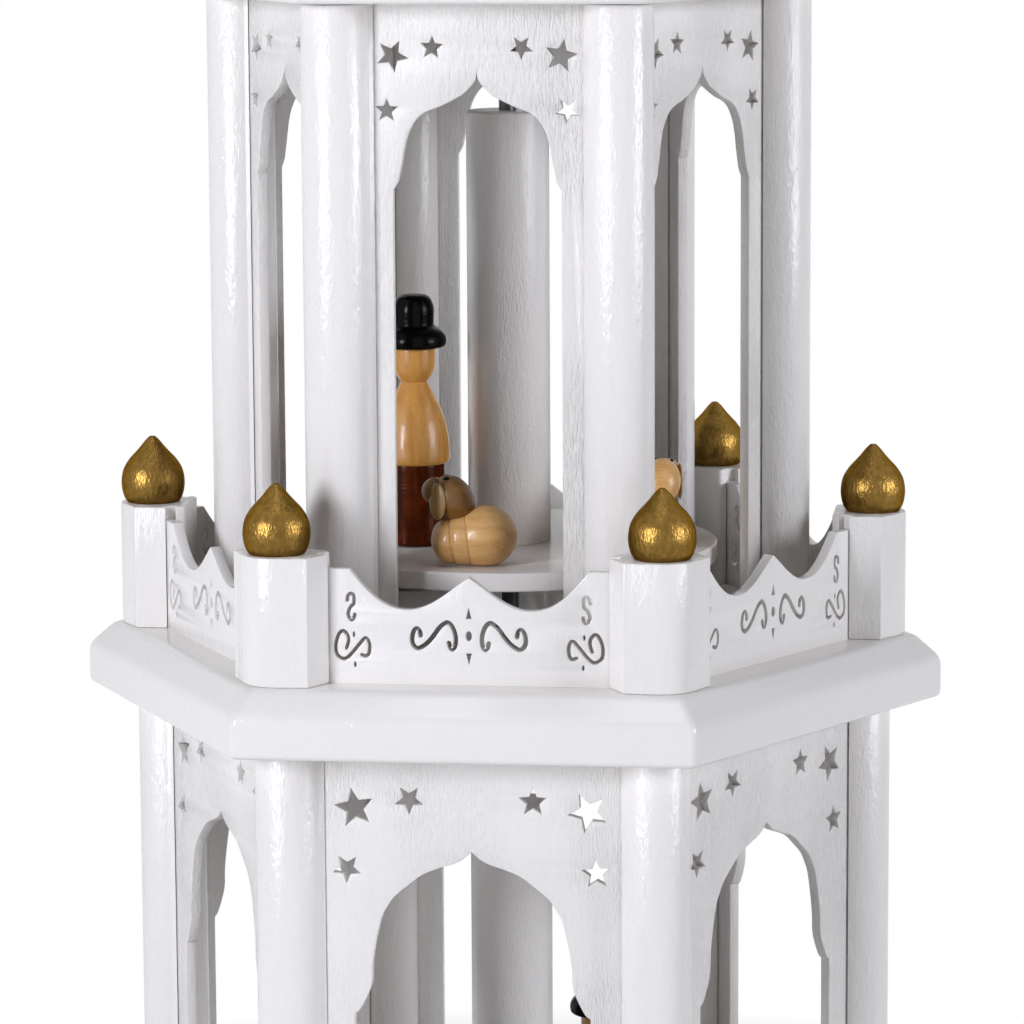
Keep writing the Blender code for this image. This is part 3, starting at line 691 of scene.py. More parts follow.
def turned(profile: np.ndarray, segments: int = 72, ring: bool = False) -> bpy.types.Mesh:
    """Turns a profile about the axis: each of its points goes round at its own radius and height.

    Args:
        profile: rows of radius and height.
        segments: steps of a full turn.
        ring: whether the profile is closed round a bore.

    Returns:
        The mesh.
    """
    turn = np.linspace(0, math.tau, segments, endpoint=False)
    radius, height = profile[:, :1], profile[:, 1:]
    grid = np.stack([radius * np.cos(turn), radius * np.sin(turn),
                     np.broadcast_to(height, (len(profile), segments))], -1)
    return surface(grid, ring)


def egg(*half_sizes: float) -> bpy.types.Mesh:
    """Makes a stretched ball round the origin.

    Args:
        *half_sizes: half its size along x, y and z.

    Returns:
        The mesh.
    """
    rows, columns = 28, 48
    down = np.linspace(0, math.pi, rows + 1)[:, None]
    turn = np.linspace(0, math.tau, columns, endpoint=False)[None, :]
    grid = np.stack([np.sin(down) * np.cos(turn), np.sin(down) * np.sin(turn),
                     np.cos(down) * np.ones_like(turn)], -1)
    return surface(grid * np.asarray(half_sizes))


def mark_cuts(mesh: bpy.types.Mesh, holes: Sequence[np.ndarray], sawn: bool = True) -> None:
    """Gives the walls of the holes the second material and the other edges the third.

    Args:
        mesh: the board, lying in x and y.
        holes: the outlines of the holes.
        sawn: whether the other edges get the third material.
    """
    count = len(mesh.polygons)
    centres, normals = np.empty(count * 3, np.float32), np.empty(count * 3, np.float32)
    mesh.polygons.foreach_get("center", centres)
    mesh.polygons.foreach_get("normal", normals)
    spots = centres.reshape(-1, 1, 3)[..., :2]
    low = np.array([hole.min(0) for hole in holes])
    high = np.array([hole.max(0) for hole in holes])
    room, flat, steep = 2e-5, 0.97, 0.6
    inside = ((spots > low - room) & (spots < high + room)).all(2).any(1)
    facing = np.abs(normals[2::3])
    marks = np.where(inside, facing < flat, 2 * sawn * (facing < steep))
    mesh.polygons.foreach_set("material_index", marks.astype(np.int32))


def linked(name: str, data: bpy.types.ID) -> bpy.types.Object:
    """Adds an object to the scene.

    Args:
        name: its name.
        data: what it holds.

    Returns:
        The object.
    """
    made = bpy.data.objects.new(name, data)
    bpy.context.scene.collection.objects.link(made)
    return made


def board(outline: np.ndarray, thickness: float, ease: float,
          holes: Sequence[np.ndarray] = ()) -> bpy.types.Mesh:
    """Makes a flat board with holes, its edges rounded over by ease.

    Args:
        outline: rows of x and y round the board.
        thickness: the board's thickness along z, its middle at 0.
        ease: the radius of its rounded edges.
        holes: rows of x and y round each hole.

    Returns:
        The mesh.
    """
    curve = bpy.data.curves.new("board", "CURVE")
    curve.dimensions = "2D"
    curve.fill_mode = "BOTH"
    curve.extrude = thickness / 2 - ease
    curve.bevel_depth = ease
    curve.bevel_resolution = 1
    curve.offset = -ease
    for loop in (outline, *holes):
        spline = curve.splines.new("POLY")
        spline.points.add(len(loop) - 1)
        rows = np.column_stack([loop, np.zeros(len(loop)), np.ones(len(loop))])
        spline.points.foreach_set("co", rows.astype(np.float32).ravel())
        spline.use_cyclic_u = True
    holder = linked("board", curve)
    graph = bpy.context.evaluated_depsgraph_get()
    mesh = bpy.data.meshes.new_from_object(holder.evaluated_get(graph))
    bpy.data.objects.remove(holder)
    shell = bmesh.new()
    shell.from_mesh(mesh)
    bmesh.ops.remove_doubles(shell, verts=shell.verts, dist=2e-6)
    bmesh.ops.recalc_face_normals(shell, faces=shell.faces)
    shell.to_mesh(mesh)
    shell.free()
    mesh.shade_smooth()
    mesh.set_sharp_from_angle(angle=BOARD_SHARP)
    if holes:
        mark_cuts(mesh, holes)
    return mesh


def dressed(name: str, mesh: bpy.types.Mesh, matrix: Matrix, finish: Finish, body: Body,
            node: str) -> bpy.types.Object:
    """Adds a finished piece to the scene.

    Args:
        name: the piece's name.
        mesh: its mesh, which is copied.
        matrix: its place, which goes into the copy.
        finish: its finish, and through it the finishes of its cut and sawn faces.
        body: the body that it rides on.
        node: the solid that it stands for.

    Returns:
        The piece, its object at the origin.
    """
    own = mesh.copy()
    own.name = name
    own.transform(matrix)
    own.materials.clear()
    own.materials.append(finish.material())
    marks = {face.material_index for face in own.polygons}
    for edge in (finish.cut(), finish.sawn())[:max(marks)]:
        own.materials.append(edge.material())
    piece = linked(name, own)
    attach(piece, body.value)
    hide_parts(node)
    LOG.info("%s: %d faces", name, len(own.polygons))
    return piece


def ring_of(name: str, mesh: bpy.types.Mesh, first_turn: float, place: Sequence[float],
            finish: Finish, node: str) -> None:
    """Stands six copies of a piece of the stand round the axis.

    Args:
        name: the pieces' common name.
        mesh: the mesh, drawn at the front.
        first_turn: the turn of the first copy about the axis.
        place: how far the mesh is moved before it is turned.
        finish: the pieces' finish.
        node: the common name of the solids that they stand for.
    """
    for k in range(SIDES):
        turn = Matrix.Rotation(first_turn + k * SIDE_TURN, 4, "Z")
        matrix = turn @ Matrix.Translation(place)
        dressed(f"{name}_{k + 1}", mesh, matrix, finish, Body.STAND, f"{node}_{k + 1}")


def level(node: str, top: bool) -> float:
    """Returns the height of a solid's top or foot."""
    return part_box(node)[1 if top else 0].z


def lifted(height: float) -> Matrix:
    """Returns a move up the axis."""
    return Matrix.Translation((0, 0, height))


def upright(mesh: bpy.types.Mesh, apothem: float, thickness: float) -> bpy.types.Mesh:
    """Stands a flat board on its lower edge, its outer face at the apothem.

    Args:
        mesh: the board, lying in x and y.
        apothem: the distance of its outer face from the axis.
        thickness: its thickness.

    Returns:
        The same mesh.
    """
    place = Matrix.Translation((0, thickness / 2 - apothem, 0))
    mesh.transform(place @ Matrix.Rotation(math.pi / 2, 4, "X"))
    return mesh


@dataclass
class MouldedPlate:
    """A six-sided plate with a slanted upper edge, soft transitions and rounded corners."""

    node: str
    corner_radius: float
    thickness: float
    bore: float
    slant: float = 0.00575
    round_radius: float = 0.0022
    ease: float = 0.0016
    slant_ease: float = 0.0019
    flat: float = 0.02
    corner_steps: int = 10

    def mesh(self) -> bpy.types.Mesh:
        """Carries the section round the rounded hexagon.

        The section is a line of insets and heights. At each of its points the outline is a
        hexagon moved in by the inset, its corners arcs of one radius; the bore is a circle.

        Returns:
            The plate, its foot at 0.
        """
        top = self.thickness
        corners = [(self.flat, top), (self.slant, top), (0, top - self.slant), (0, 0),
                   (self.flat, 0)]
        section = eased(corners, (0, self.slant_ease, self.slant_ease, self.ease, 0), steps=8)
        steps = self.corner_steps
        corner = np.repeat(HALF_TURN + SIDE_TURN * np.arange(SIDES), steps + 1)
        bend = corner - HALF_TURN + SIDE_TURN * np.tile(np.arange(steps + 1) / steps, SIDES)
        inset = section[:, :1]
        reach = self.corner_radius - (inset + self.round_radius) / HALF_COS
        x = reach * np.sin(corner) + self.round_radius * np.sin(bend)
        y = -reach * np.cos(corner) - self.round_radius * np.cos(bend)
        rows = [np.stack([x, y, np.broadcast_to(section[:, 1:], x.shape)], -1)]
        turn = np.arctan2(x[0], -y[0])
        for height, before in ((top, True), (0.0, False)):
            circle = np.stack([self.bore * np.sin(turn), -self.bore * np.cos(turn),
                               np.full(len(turn), height)], -1)[None]
            rows.insert(0 if before else len(rows), circle)
        return surface(np.vstack(rows), ring=self.bore > 0, sharp=32)

    def build(self) -> None:
        """Makes the plate where its solid lies."""
        place = lifted(level(self.node, top=False))
        dressed(f"{self.node}_board", self.mesh(), place, PLATE_LACQUER, Body.STAND, self.node)


@dataclass
class Storey:
    """One storey: six walls with ogee arches and stars, between six round posts."""

    name: str
    apothem: float
    post_centre: float
    arch_half_width: float
    arch_top_drop: float
    arch_shoulder_drop: float
    arch_shares: Line
    star_radius: float
    star_spread: float
    star_drop: float
    star_tilts: Sequence[Sequence[float]]
    post_radius: float = 0.0078
    thickness: float = 0.0025
    tongue: float = 0.002
    loose_gap: float = 0.0005
    bead: float = 0.0007
    ease: float = 0.00028
    arc_steps: int = 40
    star_sizes: Sequence[tuple[float, float, float]] = ((1, 1, 1), (0.72, 0.53, 0.84),
                                                        (0.73, 1.07, 2.06))
    star_notch: float = 0.45
    height: float = field(init=False)
    floor: float = field(init=False)

    def __post_init__(self) -> None:
        """Reads the height and the floor from the solids."""
        self.floor = level(f"{self.name}_arch_1", top=False)
        self.height = level(f"{self.name}_arch_1", top=True) - self.floor

    def half_width(self) -> float:
        """Finds how far a wall reaches into its posts.

        Returns:
            Half the wall's width with its tongues.
        """
        across = self.post_centre * HALF_SIN
        ahead = self.apothem - self.post_centre * HALF_COS
        return across - math.sqrt(self.post_radius ** 2 - ahead ** 2) + self.tongue

    def arch(self) -> np.ndarray:
        """Draws the arch through its points, and then its mirror image.

        Returns:
            The line from the right foot over the tip to the left foot.
        """
        tip = self.height - self.arch_top_drop
        shares = np.array([(0, 0), *self.arch_shares], float)
        line = through(shares, 5) * (-self.arch_half_width, -self.arch_shoulder_drop) + (0, tip)
        left = np.vstack([line, (-self.arch_half_width, 0)])
        return np.vstack([(left * (-1, 1))[:0:-1], left])

    def stars(self) -> list[np.ndarray]:
        """Draws the six stars, each with points and notches by turns round a middle.

        Returns:
            Their outlines.
        """
        turns = np.arange(10) * math.tau / 10
        reach = np.where(np.arange(10) % 2, self.star_notch, 1.0)
        found = []
        for side, tilts in zip((-1, 1), self.star_tilts):
            for tilt, (size, spread, drop) in zip(tilts, self.star_sizes):
                turn = turns + math.radians(tilt)
                middle = (side * spread * self.star_spread, self.height - drop * self.star_drop)
                arms = self.star_radius * size * reach
                found.append(np.column_stack([arms * np.sin(turn), arms * np.cos(turn)]) + middle)
        return found

    def wall(self) -> bpy.types.Mesh:
        """Makes one wall at the front, open at the foot of its arch.

        Returns:
            The mesh, its foot at 0.
        """
        half = self.half_width()
        sides = [(-half, 0), (-half, self.height), (half, self.height), (half, 0)]
        outline = np.vstack([sides, self.arch()])
        mesh = board(outline, self.thickness, self.ease, self.stars())
        return upright(mesh, self.apothem, self.thickness)

    def groove(self, gap: float) -> np.ndarray:
        """Returns the groove that a post has for the wall at its right.

        Args:
            gap: the clearance in front of the wall.

        Returns:
            Its corners about the axis of a post at the front, from the outer to the inner lip.
        """
        reach = self.half_width() + SEAT_GAP
        outer, inner = self.apothem + gap, self.apothem - self.thickness - SEAT_GAP
        across = -self.post_centre * HALF_SIN
        ahead = -self.post_centre * HALF_COS
        lips = [across + math.sqrt(self.post_radius ** 2 - (y + ahead) ** 2)
                for y in (outer, inner)]
        corners = np.array([(lips[0], -outer), (-reach, -outer), (-reach, -inner),
                            (lips[1], -inner)])
        turn = np.array([[HALF_COS, HALF_SIN], [-HALF_SIN, HALF_COS]])
        return corners @ turn + (0.0, self.post_centre)

    def post(self) -> bpy.types.Mesh:
        """Makes one round post at the front, with a groove for each neighbouring wall.

        The outline is a circle; where a wall comes in, it steps along the groove's two sides. A
        rough bead closes the joint with the wall at its right, its face dark with bare wood and
        painted shade of the gap.

        Returns:
            The mesh, its foot at 0.
        """
        right = self.groove(SEAT_GAP)
        left = (self.groove(self.loose_gap) * (-1, 1))[::-1]
        bead = right[0] + self.bead * np.array([HALF_COS, HALF_SIN])
        turns = [math.atan2(y, x) for x, y in (right[-1], left[0], left[-1], right[0])]
        turns[3] -= self.bead / self.post_radius
        behind = np.linspace(turns[0], turns[1], self.arc_steps)[1:-1]
        last = turns[3] + math.tau * (turns[3] < turns[2])
        ahead = np.linspace(turns[2], last, self.arc_steps)[1:]
        arcs = [self.post_radius * np.column_stack([np.cos(a), np.sin(a)])
                for a in (behind, ahead)]
        joint = np.array([arcs[1][-1], bead])
        outline = np.vstack([bead, right[1:], arcs[0], left, arcs[1]])
        mesh = board(outline, self.height, self.ease)
        mark_cuts(mesh, [joint], sawn=False)
        mesh.transform(Matrix.Translation((0, -self.post_centre, self.height / 2)))
        return mesh

    def build(self) -> None:
        """Makes the walls and the posts."""
        seat = (0, 0, self.floor)
        ring_of(f"{self.name}_wall", self.wall(), 0, seat, WALL_LACQUER, f"{self.name}_arch")
        ring_of(f"{self.name}_round_post", self.post(), HALF_TURN, seat, POST_LACQUER,
                f"{self.name}_post")


@dataclass
class Balcony:
    """The parapet: six fretwork fences between slotted posts that carry gold onion finials.

    The middle scroll is given in shares of its half sizes, the scrolls and dots near the posts in
    millimetres from the middle of the fence's foot.
    """

    fence_apothem: float = 0.0743
    thickness: float = 0.0025
    tongue: float = 0.002
    ease: float = 0.0001
    end_height: float = 0.0256
    peak_height: float = 0.0239
    trough_height: float = 0.0167
    trough_place: float = 0.0133
    sweep_end: float = 0.0265
    ornament_height: float = 0.0110
    slot_width: float = 0.00104
    fine_slot_width: float = 0.00082
    oval: tuple[float, float] = (0.0014, 0.0023)
    small_oval: tuple[float, float] = (0.0006, 0.0013)
    dart_place: float = 0.0038
    dart_length: float = 0.0026
    dart_half_width: float = 0.00065
    scroll_place: float = 0.00775
    scroll_half_sizes: tuple[float, float] = (0.0048, 0.00305)
    post_place: float = 0.0837
    post_half_width: float = 0.0104
    post_back: float = 0.0077
    post_lip: float = 0.0085
    post_edge: float = 0.0038
    post_front: float = 0.0090
    post_ease: float = 0.0005
    lip_slant: float = 0.0008
    back_round: float = 0.0006
    edge_round: float = 0.0010
    ridge_bend: float = 1.25
    finial_place: float = 0.085
    finial_radius: float = 0.00745
    finial_foot: float = 0.0060345
    finial_shares: Line = (
        (0, 1), (0.08, 0.997), (0.14, 0.975), (0.25, 0.92), (0.40, 0.83), (0.56, 0.745),
        (0.75, 0.645), (0.93, 0.50), (1.0, 0.34), (0.99, 0.20), (0.93, 0.085), (0.85, 0.015))
    middle_scroll: Line = (
        (-0.607, -0.01), (-0.644, 0.31), (-0.775, 0.515), (-0.925, 0.31), (-1.0, -0.16),
        (-0.98, -0.567), (-0.85, -0.86), (-0.68, -0.918), (-0.438, -0.713), (-0.213, -0.39),
        (0.011, 0.047), (0.236, 0.544), (0.46, 0.865), (0.648, 0.982), (0.835, 0.72),
        (0.966, 0.25), (1.015, -0.216), (0.985, -0.684), (0.873, -0.977), (0.76, -0.86),
        (0.697, -0.51))
    side_scroll: Line = (
        (27.15, 7.95), (26.69, 9.57), (26.92, 10.95), (27.91, 11.80), (28.75, 11.11),
        (29.40, 9.41), (29.55, 7.87), (29.20, 6.41), (27.95, 5.56), (26.95, 5.87), (25.71, 7.10),
        (24.34, 8.80), (23.43, 9.88), (22.82, 10.26), (22.29, 9.72), (21.99, 8.49),
        (22.21, 6.79), (22.82, 6.26), (23.73, 6.49))
    upper_scroll: Line = (
        (26.85, 18.66), (26.74, 19.50), (26.16, 20.12), (25.48, 19.81), (25.37, 18.50),
        (25.48, 17.81), (26.16, 17.11), (26.69, 15.73), (26.39, 14.65), (25.86, 14.27),
        (25.40, 14.73), (25.22, 15.50))
    side_dots: Line = ((25.45, 11.03), (25.22, 4.33))

    def fence_half_width(self) -> float:
        """Returns half a fence's length with its tongues."""
        along = (self.fence_apothem - self.post_half_width * 0.5) / HALF_COS
        return along * 0.5 - self.post_half_width * HALF_COS + self.tongue

    def fence_outline(self) -> np.ndarray:
        """Draws a fence.

        From the peak the upper edge falls as a sine to the trough, then rises as a cosine to
        the height beside the posts.

        Returns:
            Its outline.
        """
        share = np.linspace(0, 1, 25)
        fall = np.sin(share ** 1.1 * math.pi / 2)
        rise = (1 - np.cos(share * math.pi / 2)) ** 1.2
        first = np.column_stack([
            self.trough_place * share,
            self.trough_height + (self.peak_height - self.trough_height) * (1 - fall)])
        second = np.column_stack([
            self.trough_place + (self.sweep_end - self.trough_place) * share,
            self.trough_height + (self.end_height - self.trough_height) * rise])
        half = self.fence_half_width()
        right = np.vstack([first, second[1:], (half, self.end_height), (half, 0)])
        return np.vstack([(right * (-1, 1))[:0:-1], right])[::-1]

    def slot(self, points: Any, width: float) -> np.ndarray:
        """Draws a slot with round ends along a smooth line.

        Args:
            points: the points of the line.
            width: the slot's width.

        Returns:
            Its outline.
        """
        line = through(points, 4)
        along = np.gradient(line, axis=0)
        along /= np.linalg.norm(along, axis=1)[:, None]
        across = along[:, ::-1] * (-1, 1) * width / 2
        turn = np.linspace(-math.pi / 2, math.pi / 2, 7)[1:-1, None]
        ends = [line[k] + sign * (np.cos(turn) * along[k] * width / 2 - np.sin(turn) * across[k])
                for k, sign in ((-1, 1), (0, -1))]
        return np.vstack([line + across, ends[0], (line - across)[::-1], ends[1]])

    def dot(self, x: float, y: float, size: tuple[float, float]) -> np.ndarray:
        """Draws a small oval.

        Args:
            x: its place along the fence.
            y: its height over the fence's foot.
            size: its own width and height.

        Returns:
            Its outline.
        """
        turn = np.linspace(0, math.tau, 16, endpoint=False)
        ring = np.column_stack([np.cos(turn), np.sin(turn)])
        return ring * np.array(size) / 2 + (x, y)

    def ornaments(self) -> list[np.ndarray]:
        """Draws all that is cut through a fence: an oval and darts, then scrolls and dots.

        Returns:
            Their outlines.
        """
        middle = self.ornament_height
        found = [self.dot(0, middle, self.oval)]
        for way in (-1, 1):
            foot, half = middle + way * self.dart_place, self.dart_half_width
            tip = foot + way * self.dart_length
            found.append(np.array([(-half, foot), (0, tip), (half, foot)]))
        scroll = np.array(self.middle_scroll) * self.scroll_half_sizes
        scroll = scroll + (-self.scroll_place, middle)
        upper, lower = (np.array(line) / 1000 for line in (self.upper_scroll, self.side_scroll))
        for way in (-1, 1):
            found.append(self.slot(scroll * (-way, 1), self.slot_width))
            found.append(self.slot(upper * (way, 1), self.fine_slot_width))
            found.append(self.slot(lower * (way, 1), self.fine_slot_width))
            for x, y in self.side_dots:
                found.append(self.dot(way * x / 1000, y / 1000, self.small_oval))
        return found

    def fence(self) -> bpy.types.Mesh:
        """Returns one fence at the front."""
        mesh = board(self.fence_outline(), self.thickness, self.ease, self.ornaments())
        return upright(mesh, self.fence_apothem, self.thickness)

    def post(self, height: float) -> bpy.types.Mesh:
        """Makes one post at the front corner.

        Outside, its section bulges as a power of a cosine; each side has a slot for a fence.

        Args:
            height: its height.

        Returns:
            The mesh, its foot at 0.
        """
        half = self.post_half_width
        share = np.linspace(-1, 1, 41)
        bulge = np.cos(share * math.pi / 2).clip(0) ** self.ridge_bend
        ridge = np.column_stack([half * share,
                                 self.post_edge + (self.post_front - self.post_edge) * bulge])
        cos, sin = HALF_COS, HALF_SIN
        reach = self.fence_half_width() + SEAT_GAP
        outer = self.fence_apothem + SEAT_GAP
        inner = self.fence_apothem - self.thickness - SEAT_GAP
        mouths = [((side - depth * sin) / cos, depth)
                  for side, depth in ((self.post_lip, inner), (half, outer))]
        notch = np.array([mouths[0], (-reach, inner), (-reach, outer), mouths[1]])
        turned_notch = np.column_stack([notch[:, 0] * cos + notch[:, 1] * sin,
                                        notch[:, 1] * cos - notch[:, 0] * sin - self.post_place])
        right = np.vstack([(self.post_lip - self.lip_slant, -self.post_back), turned_notch,
                           (half, self.post_edge)])
        outline = np.vstack([right, ridge[::-1][1:-1], (right * (-1, 1))[::-1]])
        corner = np.zeros(len(outline))
        front = len(right) - 1
        corner[[0, -1]] = self.back_round
        corner[[front, -front - 1]] = self.edge_round
        outline = eased(outline, corner, closed=True)
        placed = np.column_stack([outline[:, 0], -self.post_place - outline[:, 1]])
        mesh = board(placed, height, self.post_ease)
        mesh.transform(lifted(height / 2))
        return mesh

    def finial(self, height: float) -> bpy.types.Mesh:
        """Turns an onion that swells over its foot and draws in to a blunt point.

        Args:
            height: its height.

        Returns:
            The mesh, its foot at 0.
        """
        profile = through(self.finial_shares, 5) * (self.finial_radius, height)
        profile = np.vstack([profile, (self.finial_foot, 0), (0, 0)])
        return turned(profile, 64)

    def build(self) -> None:
        """Makes the fences, the posts and the finials."""
        floor, foot = level("balcony_plate", top=True), level("balcony_post_1", top=True)
        seat = (0, 0, floor)
        ring_of("fretwork_fence", self.fence(), 0, seat, FENCE_LACQUER, "fence")
        ring_of("slotted_post", self.post(foot - floor), HALF_TURN, seat, POST_LACQUER,
                "balcony_post")
        ring_of("onion_finial", self.finial(level("finial_1", top=True) - foot), HALF_TURN,
                (0, -self.finial_place, foot), GoldPaint(), "finial")


@dataclass
class Turntable:
    """A disc that turns with the shaft, and the thick hollow column that stands on it."""

    node: str
    radius: float
    column_radius: float = 0.00965
    thickness: float = 0.0043
    bore: float = 0.0023
    ease: float = 0.0006
    joint: float = 0.00025
    column_ease: float = 0.0008

    def build(self) -> None:
        """Makes the disc and its column, parted by a fine joint."""
        low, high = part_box(self.node)
        top = low.z + self.thickness
        outer = eased([(self.bore, top), (self.radius, top), (self.radius, low.z),
                       (self.bore, low.z)], (0, self.ease, self.ease, 0), steps=5)
        dressed(f"{self.node}_disc", turned(outer, 128, ring=True), Matrix(),
                DISC_LACQUER, Body.ROTOR, self.node)
        wide, joint = self.column_radius, self.joint
        column = eased([(self.bore, high.z), (wide, high.z), (wide, top + joint),
                        (wide - joint, top), (self.bore, top)],
                       (0, self.column_ease, joint / 2, 0, 0))
        dressed(f"{self.node}_column", turned(column, ring=True), Matrix(),
                COLUMN_LACQUER, Body.ROTOR, self.node)


@dataclass
class WingWheel:
    """The wheel that the warm air turns: a turned hub with twelve pitched blades."""

    radius: float = 0.0175
    height: float = 0.018
    crown: float = 0.004
    crown_ease: float = 0.0025
    foot_ease: float = 0.0014
    bore_ease: float = 0.0004
    bore: float = 0.0023
    bore_depth: float = 0.012
    blade_count: int = 12
    blade_pitch: float = math.radians(28)
    blade_thickness: float = 0.0018
    blade_ease: float = 0.0004
    blade_seat: float = 0.0006
    tip_radius: float = 0.140
    root_radius: float = 0.036
    half_widths: tuple[float, float, float] = (0.0022, 0.0070, 0.0205)
    corner: float = 0.004
    outline_eases: Sequence[float] = (0, 0.004, 0.003, 0.004)

    def hub(self) -> bpy.types.Mesh:
        """Turns the hub, rounded above and below and bored from below.

        Returns:
            The mesh, its foot at 0.
        """
        low, height = self.crown / 2, self.height
        points = [(0, height), (self.radius - self.crown, height),
                  (self.radius, height - self.crown), (self.radius, low), (self.radius - low, 0),
                  (self.bore, 0), (self.bore, self.bore_depth), (0, self.bore_depth)]
        crown, foot = [self.crown_ease] * 2, [self.foot_ease] * 2
        profile = eased(points, (0, *crown, *foot, self.bore_ease, 0, 0), steps=6)
        return turned(profile, 80)

    def blade(self) -> bpy.types.Mesh:
        """Makes one blade towards +X: a thin neck that widens to a blade with soft corners.

        Returns:
            The mesh, pitched about its length.
        """
        neck, root, tip = self.half_widths
        half = [(self.radius - self.blade_seat, neck), (self.root_radius, neck),
                (self.root_radius + self.corner, root), (self.tip_radius, tip)]
        outline = np.array(half + [(x, -y) for x, y in reversed(half)])
        reach = (*self.outline_eases, *self.outline_eases[::-1])
        outline = eased(outline, reach, steps=6, closed=True)
        mesh = board(outline, self.blade_thickness, self.blade_ease)
        mesh.transform(Matrix.Rotation(self.blade_pitch, 4, "X"))
        return mesh

    def build(self) -> None:
        """Makes the hub and the blades."""
        low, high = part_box("wing_wheel")
        middle = (low.z + high.z) / 2
        foot = lifted(middle - self.height / 2)
        dressed("wing_hub", self.hub(), foot, COLUMN_LACQUER, Body.ROTOR, "wing_wheel")
        mesh = self.blade()
        for k in range(self.blade_count):
            turn = lifted(middle) @ Matrix.Rotation(k * math.tau / self.blade_count, 4, "Z")
            dressed(f"wing_blade_{k + 1}", mesh, turn, COLUMN_LACQUER, Body.ROTOR, "wing_wheel")


@dataclass
class Spindle:
    """The steel shaft, and the glass cup in which its point turns."""

    shaft_radius: float = 0.002
    tip_length: float = 0.004
    tip_radius: float = 0.0002
    shaft_eases: Sequence[float] = (0, 0.0004, 0.0006, 0.0001, 0)
    cup_radius: float = 0.0075
    cup_wall: float = 0.0015
    cup_floor: float = 0.001
    cup_eases: Sequence[float] = (0, 0.0005, 0.0005, 0.0005, 0)

    def build(self) -> None:
        """Makes the shaft and the cup."""
        low, high = (corner.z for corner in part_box("shaft"))
        wide = self.shaft_radius
        points = [(0, high), (wide, high), (wide, low + self.tip_length),
                  (self.tip_radius, low), (0, low)]
        profile = eased(points, self.shaft_eases, steps=5)
        dressed("steel_shaft", turned(profile, 40), Matrix(), STEEL, Body.ROTOR, "shaft")
        low, high = (corner.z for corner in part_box("bearing_cup"))
        rim = self.cup_radius - self.cup_wall
        points = [(0, low + self.cup_floor), (rim, high), (self.cup_radius, high),
                  (self.cup_radius, low), (0, low)]
        profile = eased(points, self.cup_eases, steps=5)
        dressed("glass_bearing", turned(profile, 64), Matrix(), MouldedGlass(),
                Body.STAND, "bearing_cup")


@dataclass
class CandleCups:
    """Six spun brass cups with drip dishes on the base."""

    socket: float = 0.0072
    wall: float = 0.0012
    floor: float = 0.004
    dish_radius: float = 0.0135
    dish_height: float = 0.0045
    foot_radius: float = 0.0095
    eases: Sequence[float] = (0, 0.0006, 0.0005, 0.0005, 0.0007, 0.0006, 0.0006, 0.0015,
                              0.0004, 0)

    def build(self) -> None:
        """Makes the cups where their solids stand."""
        low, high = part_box("candle_cup_1")
        height = high.z - low.z
        outer = self.socket + self.wall
        points = [(0, self.floor), (self.socket, self.floor), (self.socket, height),
                  (outer, height), (outer, self.dish_height),
                  (self.dish_radius - self.wall, self.dish_height + self.wall),
                  (self.dish_radius, self.dish_height), (self.foot_radius, self.wall),
                  (self.foot_radius, 0), (0, 0)]
        mesh = turned(eased(points, self.eases, steps=5))
        centre = (low + high) / 2
        place = (0, -math.hypot(centre.x, centre.y), low.z)
        ring_of("brass_candle_cup", mesh, HALF_TURN, place, BRASS, "candle_cup")


@dataclass
class TurnedMan:
    """A turned figure: red-brown legs, bare wooden body and head, and a black hat.

    Each profile holds radii and heights in millimetres, from the axis round and back to it.
    """

    node: str
    place: tuple[float, float]
    legs: Line = (
        (0, 19.3), (6.5, 19.3), (6.95, 18.9), (7.0, 18.3), (7.0, 9), (7.0, 0.6), (6.6, 0), (0, 0))
    body: Line = (
        (0, 38.2), (2.9, 38.0), (3.2, 37.4), (4.15, 35.5), (5.0, 33.8), (5.9, 31.9), (6.8, 29.5),
        (7.4, 27.4), (7.8, 25.2), (8.0, 22.9), (8.1, 20.7), (8.0, 19.6), (7.6, 18.9),
        (6.4, 18.7), (0, 18.7))
    head: Line = (
        (0, 45.9), (4.6, 45.9), (4.95, 45.3), (4.95, 42.0), (4.75, 40.4), (4.0, 39.0),
        (3.2, 37.9), (2.6, 37.6), (0, 37.6))
    hat: Line = (
        (0, 57.8), (2.6, 57.8), (3.6, 57.4), (4.2, 56.5), (4.7, 55.1), (4.8, 53.7), (4.65, 50.9),
        (5.1, 50.5), (6.4, 49.8), (7.4, 48.5), (7.7, 47.3), (7.5, 46.1), (6.9, 45.7),
        (5.1, 45.5), (0, 45.5))

    def build(self) -> None:
        """Makes the four parts, one over the other."""
        low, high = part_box(self.node)
        scale = (high.z - low.z) / self.hat[0][1]
        seat = Matrix.Translation((*self.place, low.z)) @ Matrix.Scale(scale, 4)
        parts = (("legs", self.legs, LEG_PAINT), ("body", self.body, TurnedWood()),
                 ("head", self.head, TurnedWood()), ("hat", self.hat, HAT_PAINT))
        for label, points, finish in parts:
            mesh = turned(eased(points, 1.0), 56)
            dressed(f"{self.node}_{label}", mesh, seat, finish, Body.ROTOR, self.node)


